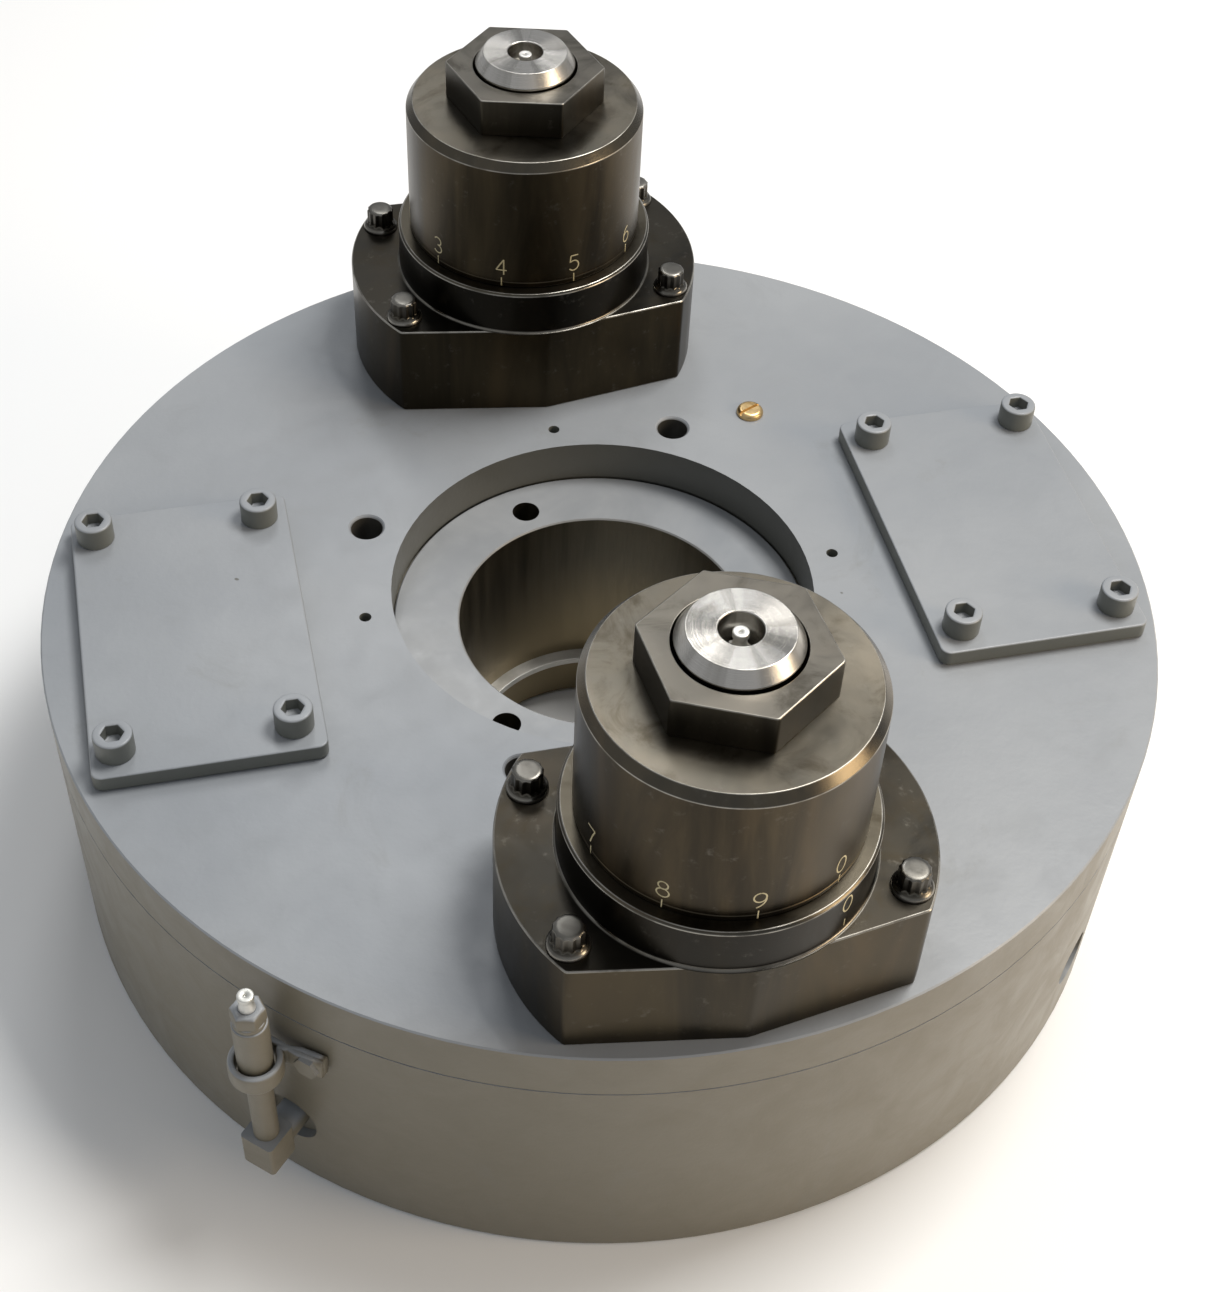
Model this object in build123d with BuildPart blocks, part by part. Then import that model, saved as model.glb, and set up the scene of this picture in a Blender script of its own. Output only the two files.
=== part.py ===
from build123d import *
import math
import os

os.makedirs("parts", exist_ok=True)

# Twin-spindle head, millimetres. Origin: centre of the drum's bottom face, +Z up the centre bore.
# The two spindle units stand on the Y axis, the two access covers on the X axis.

INCH = 25.4

# Drum and top plate
DRUM_R = 11.25 * INCH
DRUM_H = 6.5 * INCH
PLATE_T = 1.125 * INCH
WALL_T = 18.0
FLOOR_T = 22.0
PLATE_Z = DRUM_H - PLATE_T
REGISTER_R = 109.7
REGISTER_DEPTH = 24.3
REGISTER_RELIEF = 1.8
REGISTER_FOOT = 0.4
BODY_SCREW_PCR = 249.0
SCREW_BOSS_R = 16.0
BEARING_BOSS_T = 16.0
FLOOR_BORE_R = 100.0
TAPPED_PCR = 131.4
TAPPED_R = 8.4
TAPPED_DEPTH = 25.0
TAPPED_BEVEL = 1.3
SMALL_PCR = 124.3
SMALL_R = 3.1
SMALL_DEPTH = 15.0
SEAM_BEVEL = 0.8
FOOT_BEVEL = 1.5
SCREW_CLEARANCE = 0.4
OVERCUT = 1.0

# Centre drive hub
BORE_R = 75.0
HUB_R = 88.0
HUB_FLANGE_T = 22.8
HUB_FLANGE_R = REGISTER_R - 0.4
HUB_TOP = DRUM_H - REGISTER_DEPTH
HUB_FLANGE_Z = HUB_TOP - HUB_FLANGE_T
HUB_FOOT_Z = 3.0
DRIVE_HOLE_R = 7.4
DRIVE_HOLE_PCR = 90.0
BORE_RING_TOP = DRUM_H - 128.6
BORE_RING_T = 4.0
BORE_RING_R = 67.5

# Main ball bearings of the hub
RACE_R = 112.0
BALL_PCR = 100.0
BALL_R = 6.35
BEARING_W = 20.0
BALL_COUNT = 24
LOWER_BEARING_Z = 12.0
UPPER_BEARING_Z = HUB_FLANGE_Z - BEARING_W

# Gear train: module 4, 20 degree pressure angle
MODULE = 4.0
PRESSURE = math.radians(20)
GEAR_TEETH = 82
PINION_TEETH = 24
BACKLASH = 0.7
GEAR_Z = 58.0
GEAR_FACE = 32.0
PINION_Z = 61.0
PINION_FACE = 26.0
UNIT_Y = MODULE * (GEAR_TEETH + PINION_TEETH) / 2

# Spindle units, heights counted from the top of the plate
FLANGE_R = 97.0
FLANGE_T = 54.6
FLAT_Y = 63.0
CORNER = (79.1, -56.2)
APEX_Y = -68.6
SPIGOT_R = 61.9
SPIGOT_L = 28.0
COLLAR_R = 69.8
COLLAR_H = 77.2
COLLAR_TOP = 80.0
SLEEVE_R = 63.4
SLEEVE_TOP = 156.9
SLEEVE_FOOT = 80.4
QUILL_R = 48.0
QUILL_LOW = 8.0
QUILL_TOP = 138.0
SLIDE_GAP = 0.15
TURN_GAP = 0.3
HEX_AF = 72.8
HEX_H = 20.3
NOSE_R = 26.3
NOSE_TIP_R = 22.1
NOSE_BASE = 178.7
NOSE_TOP = 185.2
SHAFT_R = 20.0
PINION_BORE = 19.0
JOURNAL_R = 17.5
FLANGE_BOLT_XY = (75.0, 42.5)

# Half-inch screws
SCREW_R = 0.25 * INCH
HEAD_R = 0.375 * INCH
HEAD_H = 0.5 * INCH
HEAD_BEVEL = 0.8
SOCKET_AF = 0.375 * INCH

# Access covers
COVER_X = (154.2, 265.4)
COVER_Y = 89.7
COVER_T = 0.375 * INCH
GASKET_T = 0.8
COVER_SCREW_X = (168.7, 253.0)
COVER_SCREW_Y = 73.5
COVER_CORNER = 5.0
COVER_BEVEL = 0.6
GASKET_INSET = 0.8
WINDOW_X = (181.0, 241.0)
WINDOW_Y = 58.0
WINDOW_CORNER = 8.0

# Oil filler plug
PLUG_PCR = 162.6
PLUG_R = 6.6
PLUG_HEAD_R = 7.5
PLUG_HEAD_H = 3.6
PLUG_DOME_R = 2.6
PLUG_SLOT_W = 1.8

# Outside grease line and side ports
PORT_ANGLE = 46.5
LUBE_ANGLE = PORT_ANGLE + 180
LUBE_R = DRUM_R + 17.2
PORT_Z = 47.0
PORT_R = 8.0
CLIP_Z = 116.0
CLIP_SCREW_R = 3.1
CLIP_SCREW_DEPTH = 12.0
PAD_OFFSET = 20.0

UNITS = {"front": -UNIT_Y, "rear": UNIT_Y}
HEX_PHASE = {"front": 35.4, "rear": 46.0}


def save(piece, name):
    """Label one finished piece and write it to its own file."""
    piece.label = name
    export_step(piece, f"parts/{name}.step")


def turn(points, centre_y=0.0, mode=Mode.ADD):
    """Revolve a closed outline of (radius, height) points about the upright line through (0, centre_y)."""
    with BuildSketch(Plane.XZ.offset(-centre_y)) as outline:
        with BuildLine():
            Polyline(*points, close=True)
        make_face()
    revolve(outline.sketch, axis=Axis((0, centre_y, 0), (0, 0, 1)), mode=mode)


def disc(radius, low, high, spots=((0, 0),), mode=Mode.ADD):
    """Upright cylinders from one height to another at a list of places."""
    with BuildSketch(Plane.XY.offset(low)) as outline:
        with Locations(*spots):
            Circle(radius)
    extrude(outline.sketch, amount=high - low, mode=mode)


def ring_spots(radius, angles):
    """Places on a circle about the drum's centre."""
    return [(radius * math.cos(math.radians(a)), radius * math.sin(math.radians(a))) for a in angles]


def box(x_range, y_range, z_range, mode=Mode.ADD, corner=0.0):
    """Upright block between three pairs of limits, its upright edges rounded by corner."""
    width = x_range[1] - x_range[0]
    depth = y_range[1] - y_range[0]
    with BuildSketch(Plane.XY.offset(z_range[0])) as outline:
        with Locations(((x_range[0] + x_range[1]) / 2, (y_range[0] + y_range[1]) / 2)):
            if corner:
                RectangleRounded(width, depth, corner)
            else:
                Rectangle(width, depth)
    extrude(outline.sketch, amount=z_range[1] - z_range[0], mode=mode)


def socket_screws(spots, low, seat, up=1):
    """Socket head cap screws: shank from low to seat, head beyond the seat, hex socket in the head."""
    head_end = seat + up * HEAD_H
    with BuildPart() as screws:
        disc(SCREW_R, min(low, seat), max(low, seat), spots)
        disc(HEAD_R, min(seat, head_end), max(seat, head_end), spots)
        rims = screws.edges().filter_by(GeomType.CIRCLE)
        chamfer(rims.filter_by_position(Axis.Z, head_end - 0.01, head_end + 0.01), HEAD_BEVEL)
        with BuildSketch(Plane.XY.offset(head_end)) as hexes:
            with Locations(*spots):
                RegularPolygon(SOCKET_AF / 2, 6, major_radius=False)
        extrude(hexes.sketch, amount=-up * HEAD_H / 2, mode=Mode.SUBTRACT)
    return screws.part


# ---------------------------------------------------------------- housing

BODY_SCREW_SPOTS = ring_spots(BODY_SCREW_PCR, [22.5 + 45 * k for k in range(8)])
PLUG_ANGLES = (PORT_ANGLE, PORT_ANGLE + 90, PORT_ANGLE + 270)
BODY_SCREW_SEAT = HEAD_H + 1.5
NEEDLE_SHELL_R = 27.0
NEEDLE_BOSS_R = 50.0
NEEDLE_Z = (20.0, 48.0)
BOSS_RISE = 4.0
PORT_FACE_R = 15.0
PORT_FACE_DEPTH = 5.0


def radial_plane(angle, distance, height, sideways=0.0):
    """Plane across a radius of the drum, moved sideways along the tangent."""
    outward = Vector(1, 0, 0).rotate(Axis.Z, angle)
    tangent = Vector(0, 1, 0).rotate(Axis.Z, angle)
    centre = outward * distance + tangent * sideways + Vector(0, 0, height)
    return Plane(origin=centre, x_dir=tangent, z_dir=outward)


def radial_bore(angle, radius, inner, outer, height, sideways=0.0):
    """Cut a round hole along a radius of the drum, between two distances from its centre."""
    with BuildSketch(radial_plane(angle, inner, height, sideways)) as hole:
        Circle(radius)
    extrude(hole.sketch, amount=outer - inner, mode=Mode.SUBTRACT)


with BuildPart() as drum_body:
    disc(DRUM_R, 0, PLATE_Z)
    disc(DRUM_R - WALL_T, FLOOR_T, PLATE_Z, mode=Mode.SUBTRACT)
    disc(RACE_R + BEARING_BOSS_T, FLOOR_T - OVERCUT, LOWER_BEARING_Z + BEARING_W + BOSS_RISE)
    for y in UNITS.values():
        disc(NEEDLE_BOSS_R, FLOOR_T - OVERCUT, NEEDLE_Z[1] + BOSS_RISE, [(0, y)])
        disc(NEEDLE_SHELL_R, NEEDLE_Z[0] - BOSS_RISE, PLATE_Z, [(0, y)], mode=Mode.SUBTRACT)
    disc(SCREW_BOSS_R, FLOOR_T - OVERCUT, PLATE_Z, BODY_SCREW_SPOTS)
    disc(FLOOR_BORE_R, 0, PLATE_Z, mode=Mode.SUBTRACT)
    disc(RACE_R, LOWER_BEARING_Z, PLATE_Z, mode=Mode.SUBTRACT)
    disc(SCREW_R + SCREW_CLEARANCE, 0, PLATE_Z, BODY_SCREW_SPOTS, mode=Mode.SUBTRACT)
    disc(HEAD_R + SCREW_CLEARANCE, 0, BODY_SCREW_SEAT, BODY_SCREW_SPOTS, mode=Mode.SUBTRACT)
    for angle in (LUBE_ANGLE, *PLUG_ANGLES):
        radial_bore(angle, PORT_R, DRUM_R - 1.5 * WALL_T, DRUM_R + OVERCUT, PORT_Z)
        radial_bore(angle, PORT_FACE_R, DRUM_R - PORT_FACE_DEPTH, DRUM_R + OVERCUT, PORT_Z)
    radial_bore(LUBE_ANGLE, CLIP_SCREW_R, DRUM_R - CLIP_SCREW_DEPTH, DRUM_R + OVERCUT, CLIP_Z, PAD_OFFSET)
    foot = drum_body.edges().filter_by(GeomType.CIRCLE).filter_by(lambda e: abs(e.radius - DRUM_R) < 0.01)
    chamfer(foot.sort_by(Axis.Z)[0], FOOT_BEVEL)
save(drum_body.part, "drum_body")

TAPPED_SPOTS = ring_spots(TAPPED_PCR, [60, 150, 240, 330])
SMALL_SPOTS = ring_spots(SMALL_PCR, [0, 90, 180, 270])
CARRIER_SPOTS = ring_spots(138.0, [15 + 60 * k for k in range(6)])
COVER_SPOTS = [(sx * x, sy * COVER_SCREW_Y) for sx in (-1, 1) for x in COVER_SCREW_X for sy in (-1, 1)]
FLANGE_BOLT_SPOTS = [
    (sx * FLANGE_BOLT_XY[0], y + sy * FLANGE_BOLT_XY[1])
    for y in UNITS.values() for sx in (-1, 1) for sy in (-1, 1)
]
PLUG_SPOT = ring_spots(PLUG_PCR, [PORT_ANGLE])
CARRIER_SCREW_R = 4.76
CARRIER_SCREW_L = 16.0
CARRIER_HEAD_R = 7.14
CARRIER_HEAD_H = 9.5
CARRIER_SOCKET_AF = 7.94
TAP_DEPTH = 20.0
TAP_SPARE = 2.0

with BuildPart() as top_plate:
    disc(DRUM_R, PLATE_Z, DRUM_H)
    disc(REGISTER_R, PLATE_Z, DRUM_H, mode=Mode.SUBTRACT)
    disc(REGISTER_R + REGISTER_RELIEF, PLATE_Z, HUB_TOP + REGISTER_FOOT, mode=Mode.SUBTRACT)
    disc(SPIGOT_R + 0.1, PLATE_Z, DRUM_H, [(0, y) for y in UNITS.values()], mode=Mode.SUBTRACT)
    for side in (-1, 1):
        window = sorted((side * WINDOW_X[0], side * WINDOW_X[1]))
        box(window, (-WINDOW_Y, WINDOW_Y), (PLATE_Z, DRUM_H), Mode.SUBTRACT, corner=WINDOW_CORNER)
    disc(SCREW_R, PLATE_Z, PLATE_Z + TAP_DEPTH, BODY_SCREW_SPOTS, mode=Mode.SUBTRACT)
    disc(SCREW_R, DRUM_H - TAP_DEPTH, DRUM_H, COVER_SPOTS, mode=Mode.SUBTRACT)
    disc(SCREW_R, DRUM_H - TAP_DEPTH, DRUM_H, FLANGE_BOLT_SPOTS, mode=Mode.SUBTRACT)
    disc(CARRIER_SCREW_R, PLATE_Z, PLATE_Z + CARRIER_SCREW_L + TAP_SPARE, CARRIER_SPOTS, mode=Mode.SUBTRACT)
    disc(SMALL_R, DRUM_H - SMALL_DEPTH, DRUM_H, SMALL_SPOTS, mode=Mode.SUBTRACT)
    disc(PLUG_R, PLATE_Z, DRUM_H, PLUG_SPOT, mode=Mode.SUBTRACT)
    disc(TAPPED_R, DRUM_H - TAPPED_DEPTH, DRUM_H, TAPPED_SPOTS, mode=Mode.SUBTRACT)
    mouths = top_plate.edges().filter_by(GeomType.CIRCLE).filter_by(lambda e: abs(e.radius - TAPPED_R) < 0.01)
    chamfer(mouths.group_by(Axis.Z)[-1], TAPPED_BEVEL)
    rim = top_plate.edges().filter_by(GeomType.CIRCLE).filter_by(lambda e: abs(e.radius - DRUM_R) < 0.01)
    chamfer(rim, SEAM_BEVEL)
save(top_plate.part, "top_plate")

save(socket_screws(BODY_SCREW_SPOTS, PLATE_Z + TAP_DEPTH - TAP_SPARE, BODY_SCREW_SEAT, up=-1), "body_screws")

for side, name in ((-1, "access_cover_left"), (1, "access_cover_right")):
    with BuildPart() as access_cover:
        x_span = sorted(side * x for x in COVER_X)
        holes = [(side * x, sy * COVER_SCREW_Y) for x in COVER_SCREW_X for sy in (-1, 1)]
        box(x_span, (-COVER_Y, COVER_Y), (DRUM_H + GASKET_T, DRUM_H + COVER_T), corner=COVER_CORNER)
        chamfer(access_cover.faces().sort_by(Axis.Z)[-1].edges(), COVER_BEVEL)
        disc(SCREW_R + SCREW_CLEARANCE, DRUM_H, DRUM_H + COVER_T, holes, mode=Mode.SUBTRACT)
    save(access_cover.part, name)

with BuildPart() as cover_gaskets:
    for side in (-1, 1):
        x_span = sorted(side * x for x in COVER_X)
        window = sorted((side * WINDOW_X[0], side * WINDOW_X[1]))
        gasket_x = (x_span[0] + GASKET_INSET, x_span[1] - GASKET_INSET)
        gasket_y = COVER_Y - GASKET_INSET
        box(gasket_x, (-gasket_y, gasket_y), (DRUM_H, DRUM_H + GASKET_T), corner=COVER_CORNER)
        box(window, (-WINDOW_Y, WINDOW_Y), (DRUM_H, DRUM_H + GASKET_T), Mode.SUBTRACT, corner=WINDOW_CORNER)
    disc(SCREW_R + SCREW_CLEARANCE, DRUM_H, DRUM_H + GASKET_T, COVER_SPOTS, mode=Mode.SUBTRACT)
save(cover_gaskets.part, "cover_gaskets")

save(socket_screws(COVER_SPOTS, DRUM_H - TAP_DEPTH + TAP_SPARE, DRUM_H + COVER_T), "cover_screws")

with BuildPart() as fill_plug:
    disc(PLUG_R, DRUM_H - 16, DRUM_H, PLUG_SPOT)
    disc(PLUG_HEAD_R, DRUM_H, DRUM_H + PLUG_HEAD_H, PLUG_SPOT)
    fillet(fill_plug.faces().sort_by(Axis.Z)[-1].edges(), PLUG_DOME_R)
    with BuildSketch(Plane.XY.offset(DRUM_H + PLUG_HEAD_H)) as slot:
        with Locations(*PLUG_SPOT):
            Rectangle(2 * PLUG_HEAD_R, PLUG_SLOT_W, rotation=25)
    extrude(slot.sketch, amount=-PLUG_HEAD_H / 2, mode=Mode.SUBTRACT)
save(fill_plug.part, "fill_plug")

CARRIER_LOW = UPPER_BEARING_Z - 4
CARRIER_FLANGE_Z = PLATE_Z - 10
with BuildPart() as bearing_carrier:
    turn([
        (106.0, CARRIER_LOW), (126.0, CARRIER_LOW), (126.0, CARRIER_FLANGE_Z), (150.0, CARRIER_FLANGE_Z),
        (150.0, PLATE_Z), (RACE_R, PLATE_Z), (RACE_R, UPPER_BEARING_Z), (106.0, UPPER_BEARING_Z),
    ])
    disc(CARRIER_SCREW_R + 0.3, CARRIER_FLANGE_Z, PLATE_Z, CARRIER_SPOTS, mode=Mode.SUBTRACT)
save(bearing_carrier.part, "bearing_carrier")

with BuildPart() as carrier_screws:
    disc(CARRIER_SCREW_R, CARRIER_FLANGE_Z, PLATE_Z + CARRIER_SCREW_L, CARRIER_SPOTS)
    disc(CARRIER_HEAD_R, CARRIER_FLANGE_Z - CARRIER_HEAD_H, CARRIER_FLANGE_Z, CARRIER_SPOTS)
    with BuildSketch(Plane.XY.offset(CARRIER_FLANGE_Z - CARRIER_HEAD_H)) as sockets:
        with Locations(*CARRIER_SPOTS):
            RegularPolygon(CARRIER_SOCKET_AF / 2, 6, major_radius=False)
    extrude(sockets.sketch, amount=CARRIER_HEAD_H / 2, mode=Mode.SUBTRACT)
save(carrier_screws.part, "carrier_screws")

with BuildPart() as hub_felt_seal:
    turn([
        (HUB_FLANGE_R + TURN_GAP, PLATE_Z - 10), (RACE_R, PLATE_Z - 10), (RACE_R, PLATE_Z),
        (HUB_FLANGE_R + TURN_GAP, PLATE_Z),
    ])
save(hub_felt_seal.part, "hub_felt_seal")

# ---------------------------------------------------------------- hub bearings

RACE_WALL = 9.0


def race_outline(inner, outer, low, groove_side):
    """Half section of a ball race: a block with a round groove facing the balls."""
    middle = low + BEARING_W / 2
    with BuildSketch(Plane.XZ) as section:
        with Locations(((inner + outer) / 2, middle)):
            Rectangle(outer - inner, BEARING_W)
        with Locations((BALL_PCR, middle)):
            Circle(BALL_R + (TURN_GAP if groove_side == "out" else 0.0), mode=Mode.SUBTRACT)
    revolve(section.sketch, axis=Axis.Z)


with BuildPart() as hub_outer_races:
    for low in (LOWER_BEARING_Z, UPPER_BEARING_Z):
        race_outline(RACE_R - RACE_WALL, RACE_R, low, "in")
save(hub_outer_races.part, "hub_outer_races")

with BuildPart() as hub_inner_races:
    for low in (LOWER_BEARING_Z, UPPER_BEARING_Z):
        race_outline(HUB_R, HUB_R + RACE_WALL, low, "out")
save(hub_inner_races.part, "hub_inner_races")

with BuildPart() as hub_balls:
    for low in (LOWER_BEARING_Z, UPPER_BEARING_Z):
        with Locations((0, 0, low + BEARING_W / 2)):
            with PolarLocations(BALL_PCR, BALL_COUNT):
                Sphere(BALL_R)
save(hub_balls.part, "hub_balls")

# ---------------------------------------------------------------- drive hub

KEY_W = 20.0
KEY_R = (83.0, 94.0)

with BuildPart() as drive_hub:
    turn([
        (BORE_R, HUB_FOOT_Z), (HUB_R, HUB_FOOT_Z), (HUB_R, HUB_FLANGE_Z), (HUB_FLANGE_R, HUB_FLANGE_Z),
        (HUB_FLANGE_R, HUB_TOP), (BORE_R, HUB_TOP),
    ])
    chamfer(drive_hub.edges().filter_by(GeomType.CIRCLE).group_by(Axis.Z)[-1], 0.8)
    disc(BORE_R + 2.6, BORE_RING_TOP - BORE_RING_T, BORE_RING_TOP, mode=Mode.SUBTRACT)
    disc(DRIVE_HOLE_R, HUB_TOP - 19, HUB_TOP, ring_spots(DRIVE_HOLE_PCR, [105, 225, 345]), mode=Mode.SUBTRACT)
    box(KEY_R, (-KEY_W / 2, KEY_W / 2), (GEAR_Z, GEAR_Z + GEAR_FACE), Mode.SUBTRACT)
save(drive_hub.part, "drive_hub")

with BuildPart() as bore_retaining_ring:
    turn([
        (BORE_RING_R, BORE_RING_TOP - BORE_RING_T), (BORE_R + 2.4, BORE_RING_TOP - BORE_RING_T),
        (BORE_R + 2.4, BORE_RING_TOP), (BORE_RING_R, BORE_RING_TOP),
    ])
    with BuildSketch(Plane.XY.offset(BORE_RING_TOP)) as gap:
        with Locations((-72, 0)):
            Rectangle(20, 9)
    extrude(gap.sketch.rotate(Axis.Z, 8), amount=-BORE_RING_T, mode=Mode.SUBTRACT)
save(bore_retaining_ring.part, "bore_retaining_ring")

with BuildPart() as hub_spacers:
    for low, high in ((LOWER_BEARING_Z + BEARING_W, GEAR_Z), (GEAR_Z + GEAR_FACE, UPPER_BEARING_Z)):
        turn([(HUB_R, low), (96.0, low), (96.0, high), (HUB_R, high)])
save(hub_spacers.part, "hub_spacers")

with BuildPart() as hub_lock_nut:
    turn([(HUB_R, HUB_FOOT_Z), (98.5, HUB_FOOT_Z), (98.5, LOWER_BEARING_Z), (HUB_R, LOWER_BEARING_Z)])
    with BuildSketch(Plane.XY.offset(HUB_FOOT_Z)) as notches:
        with PolarLocations(98.5, 6):
            Rectangle(7, 8)
    extrude(notches.sketch, amount=LOWER_BEARING_Z - HUB_FOOT_Z, mode=Mode.SUBTRACT)
save(hub_lock_nut.part, "hub_lock_nut")

with BuildPart() as gear_key:
    box(KEY_R, (-KEY_W / 2, KEY_W / 2), (GEAR_Z, GEAR_Z + GEAR_FACE))
save(gear_key.part, "gear_key")


def involute(angle):
    """Involute function of a pressure angle."""
    return math.tan(angle) - angle


def gear_points(teeth):
    """Outline of a spur gear: for each tooth, points up one involute flank and down the other."""
    pitch = MODULE * teeth / 2
    base = pitch * math.cos(PRESSURE)
    root = pitch - 1.25 * MODULE
    tip = pitch + MODULE
    start = max(base, root)
    radii = [start + (tip - start) * k / 4 for k in range(5)]
    half_pitch = math.pi / (2 * teeth) - BACKLASH / (2 * 2 * pitch)
    flank = [(r, half_pitch + involute(PRESSURE) - involute(math.acos(base / r))) for r in radii]
    if root < base:
        flank.insert(0, (root, flank[0][1]))
    points = []
    for tooth in range(teeth):
        centre = 2 * math.pi * tooth / teeth
        points += [(r * math.cos(centre - a), r * math.sin(centre - a)) for r, a in flank]
        points += [(r * math.cos(centre + a), r * math.sin(centre + a)) for r, a in reversed(flank)]
    return points


def toothed_disc(teeth, low, face_width, centre_y=0.0):
    """Solid spur gear blank with its teeth, standing on one height."""
    with BuildSketch(Plane.XY.offset(low)) as outline:
        with BuildLine(Location((0, centre_y, 0))):
            Polyline(*gear_points(teeth), close=True)
        make_face()
    extrude(outline.sketch, amount=face_width)


with BuildPart() as drive_gear:
    toothed_disc(GEAR_TEETH, GEAR_Z, GEAR_FACE)
    disc(HUB_R, GEAR_Z, GEAR_Z + GEAR_FACE, mode=Mode.SUBTRACT)
    for low in (GEAR_Z, GEAR_Z + GEAR_FACE - 9):
        with BuildSketch(Plane.XY.offset(low)) as recess:
            Circle(148)
            Circle(108, mode=Mode.SUBTRACT)
        extrude(recess.sketch, amount=9, mode=Mode.SUBTRACT)
    disc(13.0, GEAR_Z, GEAR_Z + GEAR_FACE, ring_spots(128.0, range(0, 360, 45)), mode=Mode.SUBTRACT)
    box(KEY_R, (-KEY_W / 2, KEY_W / 2), (GEAR_Z, GEAR_Z + GEAR_FACE), Mode.SUBTRACT)
save(drive_gear.part, "drive_gear")

# ---------------------------------------------------------------- spindle units

LOWER_RACE = (30.0, 48.0)
UPPER_RACE = (112.0, 130.0)
QUILL_SEAT_R = 40.0
UNIT_BALL_R = 5.5
UNIT_BALL_PCR = 30.0
UNIT_BALL_COUNT = 12
SKIRT_R = 57.6
SKIRT_LOW = 62.0
RETAINER_Z = (67.0, 70.0)
RETAINER_R = (55.0, 60.5)
KEY_SLOT = 8.0
NIPPLE_RECESS = 16.0
NEEDLE_R = 2.2
NEEDLE_PCR = JOURNAL_R + TURN_GAP + NEEDLE_R


def raised(points):
    """Shift an outline's heights from the top of the plate to the drum's own frame."""
    return [(r, DRUM_H + h) for r, h in points]


def flange_outline(y):
    """Round flange face cut by one flat and by a shallow two-faced point, on the far and near sides."""
    with BuildSketch(Plane.XY.offset(DRUM_H)) as face:
        with Locations((0, y)):
            Circle(FLANGE_R)
        with BuildSketch(Plane.XY.offset(DRUM_H), mode=Mode.INTERSECT):
            with BuildLine(Location((0, y, 0))):
                slope = (CORNER[1] - APEX_Y) / CORNER[0]
                far_y = APEX_Y + slope * FLANGE_R * 1.2
                Polyline(
                    (0, APEX_Y), (FLANGE_R * 1.2, far_y), (FLANGE_R * 1.2, FLAT_Y), (-FLANGE_R * 1.2, FLAT_Y),
                    (-FLANGE_R * 1.2, far_y), close=True)
            make_face()
    return face.sketch


def make_flange(name, y):
    """Bolted flange with its collar, and the spigot that centres it in the top plate."""
    with BuildPart() as flange:
        outline = flange_outline(y)
        turn(raised([
            (0, 0), (FLANGE_R + 5, 0), (FLANGE_R + 5, FLANGE_T), (COLLAR_R + 3.0, FLANGE_T),
            (COLLAR_R + 0.9, FLANGE_T + 0.9), (COLLAR_R, FLANGE_T + 3.5), (COLLAR_R, COLLAR_H),
            (SLEEVE_R + 1.0, COLLAR_TOP), (0, COLLAR_TOP),
        ]), y)
        extrude(outline, amount=COLLAR_TOP + 1, mode=Mode.INTERSECT)
        disc(SPIGOT_R, DRUM_H - SPIGOT_L, DRUM_H + 1, [(0, y)])
        disc(QUILL_R + SLIDE_GAP, DRUM_H - SPIGOT_L, DRUM_H + 90, [(0, y)], mode=Mode.SUBTRACT)
        disc(SKIRT_R + TURN_GAP, DRUM_H + SKIRT_LOW - 1, DRUM_H + 90, [(0, y)], mode=Mode.SUBTRACT)
        disc(RETAINER_R[1], DRUM_H + RETAINER_Z[0], DRUM_H + RETAINER_Z[1], [(0, y)], mode=Mode.SUBTRACT)
        spots = [(sx * FLANGE_BOLT_XY[0], y + sy * FLANGE_BOLT_XY[1]) for sx in (-1, 1) for sy in (-1, 1)]
        disc(SCREW_R + SCREW_CLEARANCE, DRUM_H, DRUM_H + FLANGE_T, spots, mode=Mode.SUBTRACT)
        box((QUILL_R - 2, QUILL_R + 5), (y - KEY_SLOT / 2, y + KEY_SLOT / 2),
            (DRUM_H + 12, DRUM_H + 42), Mode.SUBTRACT)
    save(flange.part, f"spindle_flange_{name}")


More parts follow.
